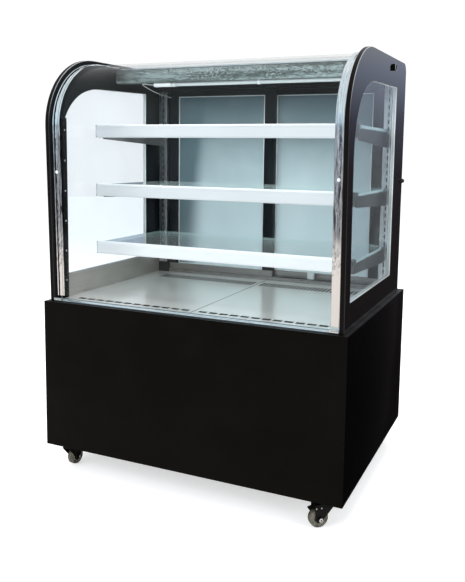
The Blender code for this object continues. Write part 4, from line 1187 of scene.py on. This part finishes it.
def wheel(corner, centre, axis, radius, half):
    """Tyre with rounded shoulders on a dark hub, with a pale lip between."""
    out, along = radius - TYRE_SHOULDER, half - TYRE_SHOULDER  # middle of the shoulder's arc
    tyre = [(radius * TYRE_FOOT, half - 0.0016), (radius * 0.68, half - 0.0004), (out, half - GAP)]
    for a in (0.4, 0.8, 1.2, math.pi / 2):
        tyre.append((out + TYRE_SHOULDER * math.sin(a), along + TYRE_SHOULDER * math.cos(a)))
    lip_out = radius * TYRE_FOOT - GAP
    lip = [(lip_out - 0.0012, half - 0.0022), (lip_out - 0.0009, half - 0.0008)]
    lip += [(lip_out - 0.0002, half - 0.0008), (lip_out, half - 0.0022)]
    hub = [(0.0046, half - 0.0004), (0.0100, half - 0.0004), (0.0112, half - 0.0020)]
    hub.append((lip_out - 0.0014, half - 0.0026))
    for name, half_profile, sides, finish in (
        ("tyre", tyre, 64, "tread"),
        ("wheel_lip", lip, 56, "pale_ring"),
        ("hub", hub, 48, "hub"),
    ):
        mesh = turned(mirrored(half_profile), centre, axis, sides)
        piece(f"{name}_{corner}", mesh, finish, slot="wheel_grey", body=f"wheel_{corner}")
    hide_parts(f"caster_wheel_{corner}")


AXLE_NUT = [(0.0022, 0.0), (0.0054, 0.0), (0.0054, 0.0006), (0.0044, 0.0014), (0.0022, 0.0015)]
AXLE_CORE = [(0.0, 0.0), (0.0020, 0.0), (0.0020, 0.0008), (0.0, 0.0008)]


def axle_ends(corner, centre, axis):
    """A chrome nut with a dark centre at each end of the axle."""
    spots = [v.co - centre for v in NODES[f"caster_fork_{corner}"].data.vertices]
    reach = max(abs(s.dot(axis)) for s in spots) + GAP
    nuts, cores = bmesh.new(), bmesh.new()
    for way in (-axis, axis):
        add_turned(nuts, [*AXLE_NUT, AXLE_NUT[0]], centre + way * reach, way, 36)
        add_turned(cores, AXLE_CORE, centre + way * reach, way, 24)
    body = f"caster_{corner}"
    piece(f"axle_nuts_{corner}", from_bmesh(nuts), "chrome", slot="chrome", body=body)
    piece(f"axle_cores_{corner}", from_bmesh(cores), "hub", slot="fork_black", body=body)


def brake_bolts(corner, centre, axis):
    """Two bolts on each cheek of a braked fork."""
    pivot = Vector(joint(f"swivel_{corner}")["pos_m"])
    trail = Vector((centre.x - pivot.x, centre.y - pivot.y, 0)).normalized()
    bolt = head(0.0022, (0.0020, 0.0008), (0.0012, 0.0013), 0.0014)
    shape = bmesh.new()
    for way in (-axis, axis):
        for back, up in BRAKE_BOLTS:
            spot = centre + trail * back + Vector((0, 0, up)) + way * (CHEEK_OUT + 0.0001)
            add_turned(shape, bolt, spot, way, 20)
    mesh = from_bmesh(shape)
    piece(f"brake_bolts_{corner}", mesh, "standard", slot="chrome", body=f"caster_{corner}")


# -------- stage, light and camera
CAMERA_PLACE = (0.8712, -1.9258, 0.9325)
CAMERA_YAW = 23.9534  # degrees to the left of +Y
CAMERA_PITCH = -6.8296
CAMERA_ROLL = 0.7685
CAMERA_LENS = 43.28
CAMERA_SHIFT = (-0.0129, -0.0913)


def camera():
    data = bpy.data.cameras.new("camera")
    data.lens = CAMERA_LENS
    data.sensor_width = 36.0
    data.shift_x, data.shift_y = CAMERA_SHIFT
    obj = bpy.data.objects.new("camera", data)
    bpy.context.scene.collection.objects.link(obj)
    yaw, pitch, roll = (math.radians(a) for a in (CAMERA_YAW, 90 + CAMERA_PITCH, CAMERA_ROLL))
    turn = Matrix.Rotation(yaw, 4, "Z") @ Matrix.Rotation(pitch, 4, "X") @ Matrix.Rotation(roll, 4, "Z")
    obj.matrix_world = Matrix.Translation(CAMERA_PLACE) @ turn
    bpy.context.scene.camera = obj


def softbox(name, place, target, size, power, colour=(1.0, 1.0, 1.0)):
    data = bpy.data.lights.new(name, "AREA")
    data.shape = "RECTANGLE"
    data.size, data.size_y = size
    data.energy = power
    data.color = colour
    obj = bpy.data.objects.new(name, data)
    obj.visible_glossy = False
    obj.visible_camera = False
    bpy.context.scene.collection.objects.link(obj)
    aim = (Vector(target) - Vector(place)).to_track_quat("-Z", "Y")
    obj.matrix_world = Matrix.Translation(place) @ aim.to_matrix().to_4x4()


def lights():
    softbox("key", (-1.6, -3.2, 2.6), (0, 0, 0.8), (2.4, 1.8), 70)
    softbox("top", (0.0, 0.2, 3.4), (0, 0, 0.5), (2.6, 2.2), 60)
    softbox("fill", (3.0, -1.2, 1.8), (0, 0, 0.7), (1.2, 2.0), 22)
    softbox("service", (-1.2, 3.4, 3.0), (0, 0, 0.7), (2.0, 1.2), 30)
    lamp = low("roof_lamp_tube")
    below, target = (0, lamp.y, lamp.z - 0.010), (0, lamp.y - 0.01, DECK_Z)
    softbox("case", below, target, (0.70, 0.16), 3.8, (1.0, 0.985, 0.965))


WORLD_STRENGTH = 0.85


def world():
    """Pale surroundings: light above and in front, darker low down behind the case."""
    scene_world = bpy.data.worlds.new("surroundings")
    bpy.context.scene.world = scene_world
    w = Nodes(scene_world, "Generated")
    height = w.along("Z")

    def ramp(stops):
        made = w.node("ShaderNodeValToRGB")
        w.feed(made.inputs[0], w.spread(height, -1.0, 1.0))
        elements = made.color_ramp.elements
        elements.remove(elements[-1])
        for i, (z, colour) in enumerate(stops):
            element = elements[0] if i == 0 else elements.new((z + 1) / 2)
            element.position = (z + 1) / 2
            element.color = (*colour, 1.0)
        return made.outputs["Color"]

    front = ramp(
        [
            (-1.0, (0.60, 0.57, 0.54)),
            (-0.18, (0.97, 0.92, 0.87)),
            (-0.12, (0.62, 0.62, 0.64)),
            (0.0, (0.60, 0.68, 0.76)),
            (0.10, (0.70, 0.84, 0.94)),
            (0.40, (0.86, 0.96, 1.0)),
            (1.0, (0.84, 0.88, 0.91)),
        ]
    )
    behind = ramp(
        [
            (-1.0, (0.0, 0.0, 0.0)),
            (-0.30, (0.02, 0.018, 0.017)),
            (-0.10, (0.040, 0.035, 0.037)),
            (-0.02, (0.06, 0.056, 0.066)),
            (0.05, (0.16, 0.17, 0.24)),
            (0.12, (0.54, 0.61, 0.80)),
            (0.17, (0.95, 0.97, 0.98)),
            (1.0, (0.97, 0.98, 0.98)),
        ]
    )
    room = w.noise(3.4, 3.0, (4.0, 1.0, 0.6), rough=0.5)
    band = w.math("MULTIPLY", w.spread(height, -0.18, -0.13), w.spread(height, 0.02, 0.12, 1.0, 0.15))
    patches = w.math("MULTIPLY", w.spread(room, 0.48, 0.55, smooth=True), band)
    front = w.blend(patches, front, (0.06, 0.08, 0.11))
    side = w.spread(w.along("Y"), -0.15, 0.25, smooth=True)
    back = w.node("ShaderNodeBackground")
    w.feed(back.inputs["Color"], w.blend(side, front, behind))
    back.inputs["Strength"].default_value = WORLD_STRENGTH
    w.feed(w.node("ShaderNodeOutputWorld").inputs["Surface"], back.outputs[0])


FLOOR_HALF = 14.0


def studio():
    """Pale floor, and a pale dome that only the camera sees, straight or through glass."""
    span = FLOOR_HALF * 2
    bpy.ops.mesh.primitive_grid_add(x_subdivisions=4, y_subdivisions=4, size=span, location=(0, 0, -0.0002))
    floor = bpy.context.object
    floor.name = "studio_floor"
    g = Graph("floor_paint")
    g.set(Base_Color=g.blend(g.noise(2.0, 4.0), (0.80, 0.80, 0.80), (0.83, 0.83, 0.83)), Roughness=0.75)
    g.set(Emission_Color=(1.0, 1.0, 1.0), Emission_Strength=0.52)
    floor.data.materials.append(g.material)
    floor.visible_glossy = False
    bpy.ops.mesh.primitive_uv_sphere_add(segments=48, ring_count=24, radius=FLOOR_HALF - 1.0)
    dome = bpy.context.object
    dome.name = "studio_dome"
    g = Graph("dome_paint")
    light = g.node("ShaderNodeEmission")
    light.inputs["Color"].default_value = (1.0, 1.0, 1.0, 1.0)
    light.inputs["Strength"].default_value = 1.05
    g.surface(light.outputs[0])
    dome.data.materials.append(g.material)
    for flag in ("visible_diffuse", "visible_glossy", "visible_shadow", "visible_volume_scatter"):
        setattr(dome, flag, False)


def settings():
    view = bpy.context.scene.view_settings
    view.view_transform = "Standard"
    view.look = "None"


def build():
    finish_nodes()
    base_front()
    base_sides()
    side_liners()
    end_panels()
    curved_glass()
    trims()
    sill()
    sill_corners()
    end_caps()
    bars()
    bracket_bolts()
    lamp_fittings()
    roof_seal()
    corner_strips()
    door_details()
    sensor_clip()
    rear_details()
    caster_details()
    studio()
    world()
    lights()
    camera()
    settings()


build()
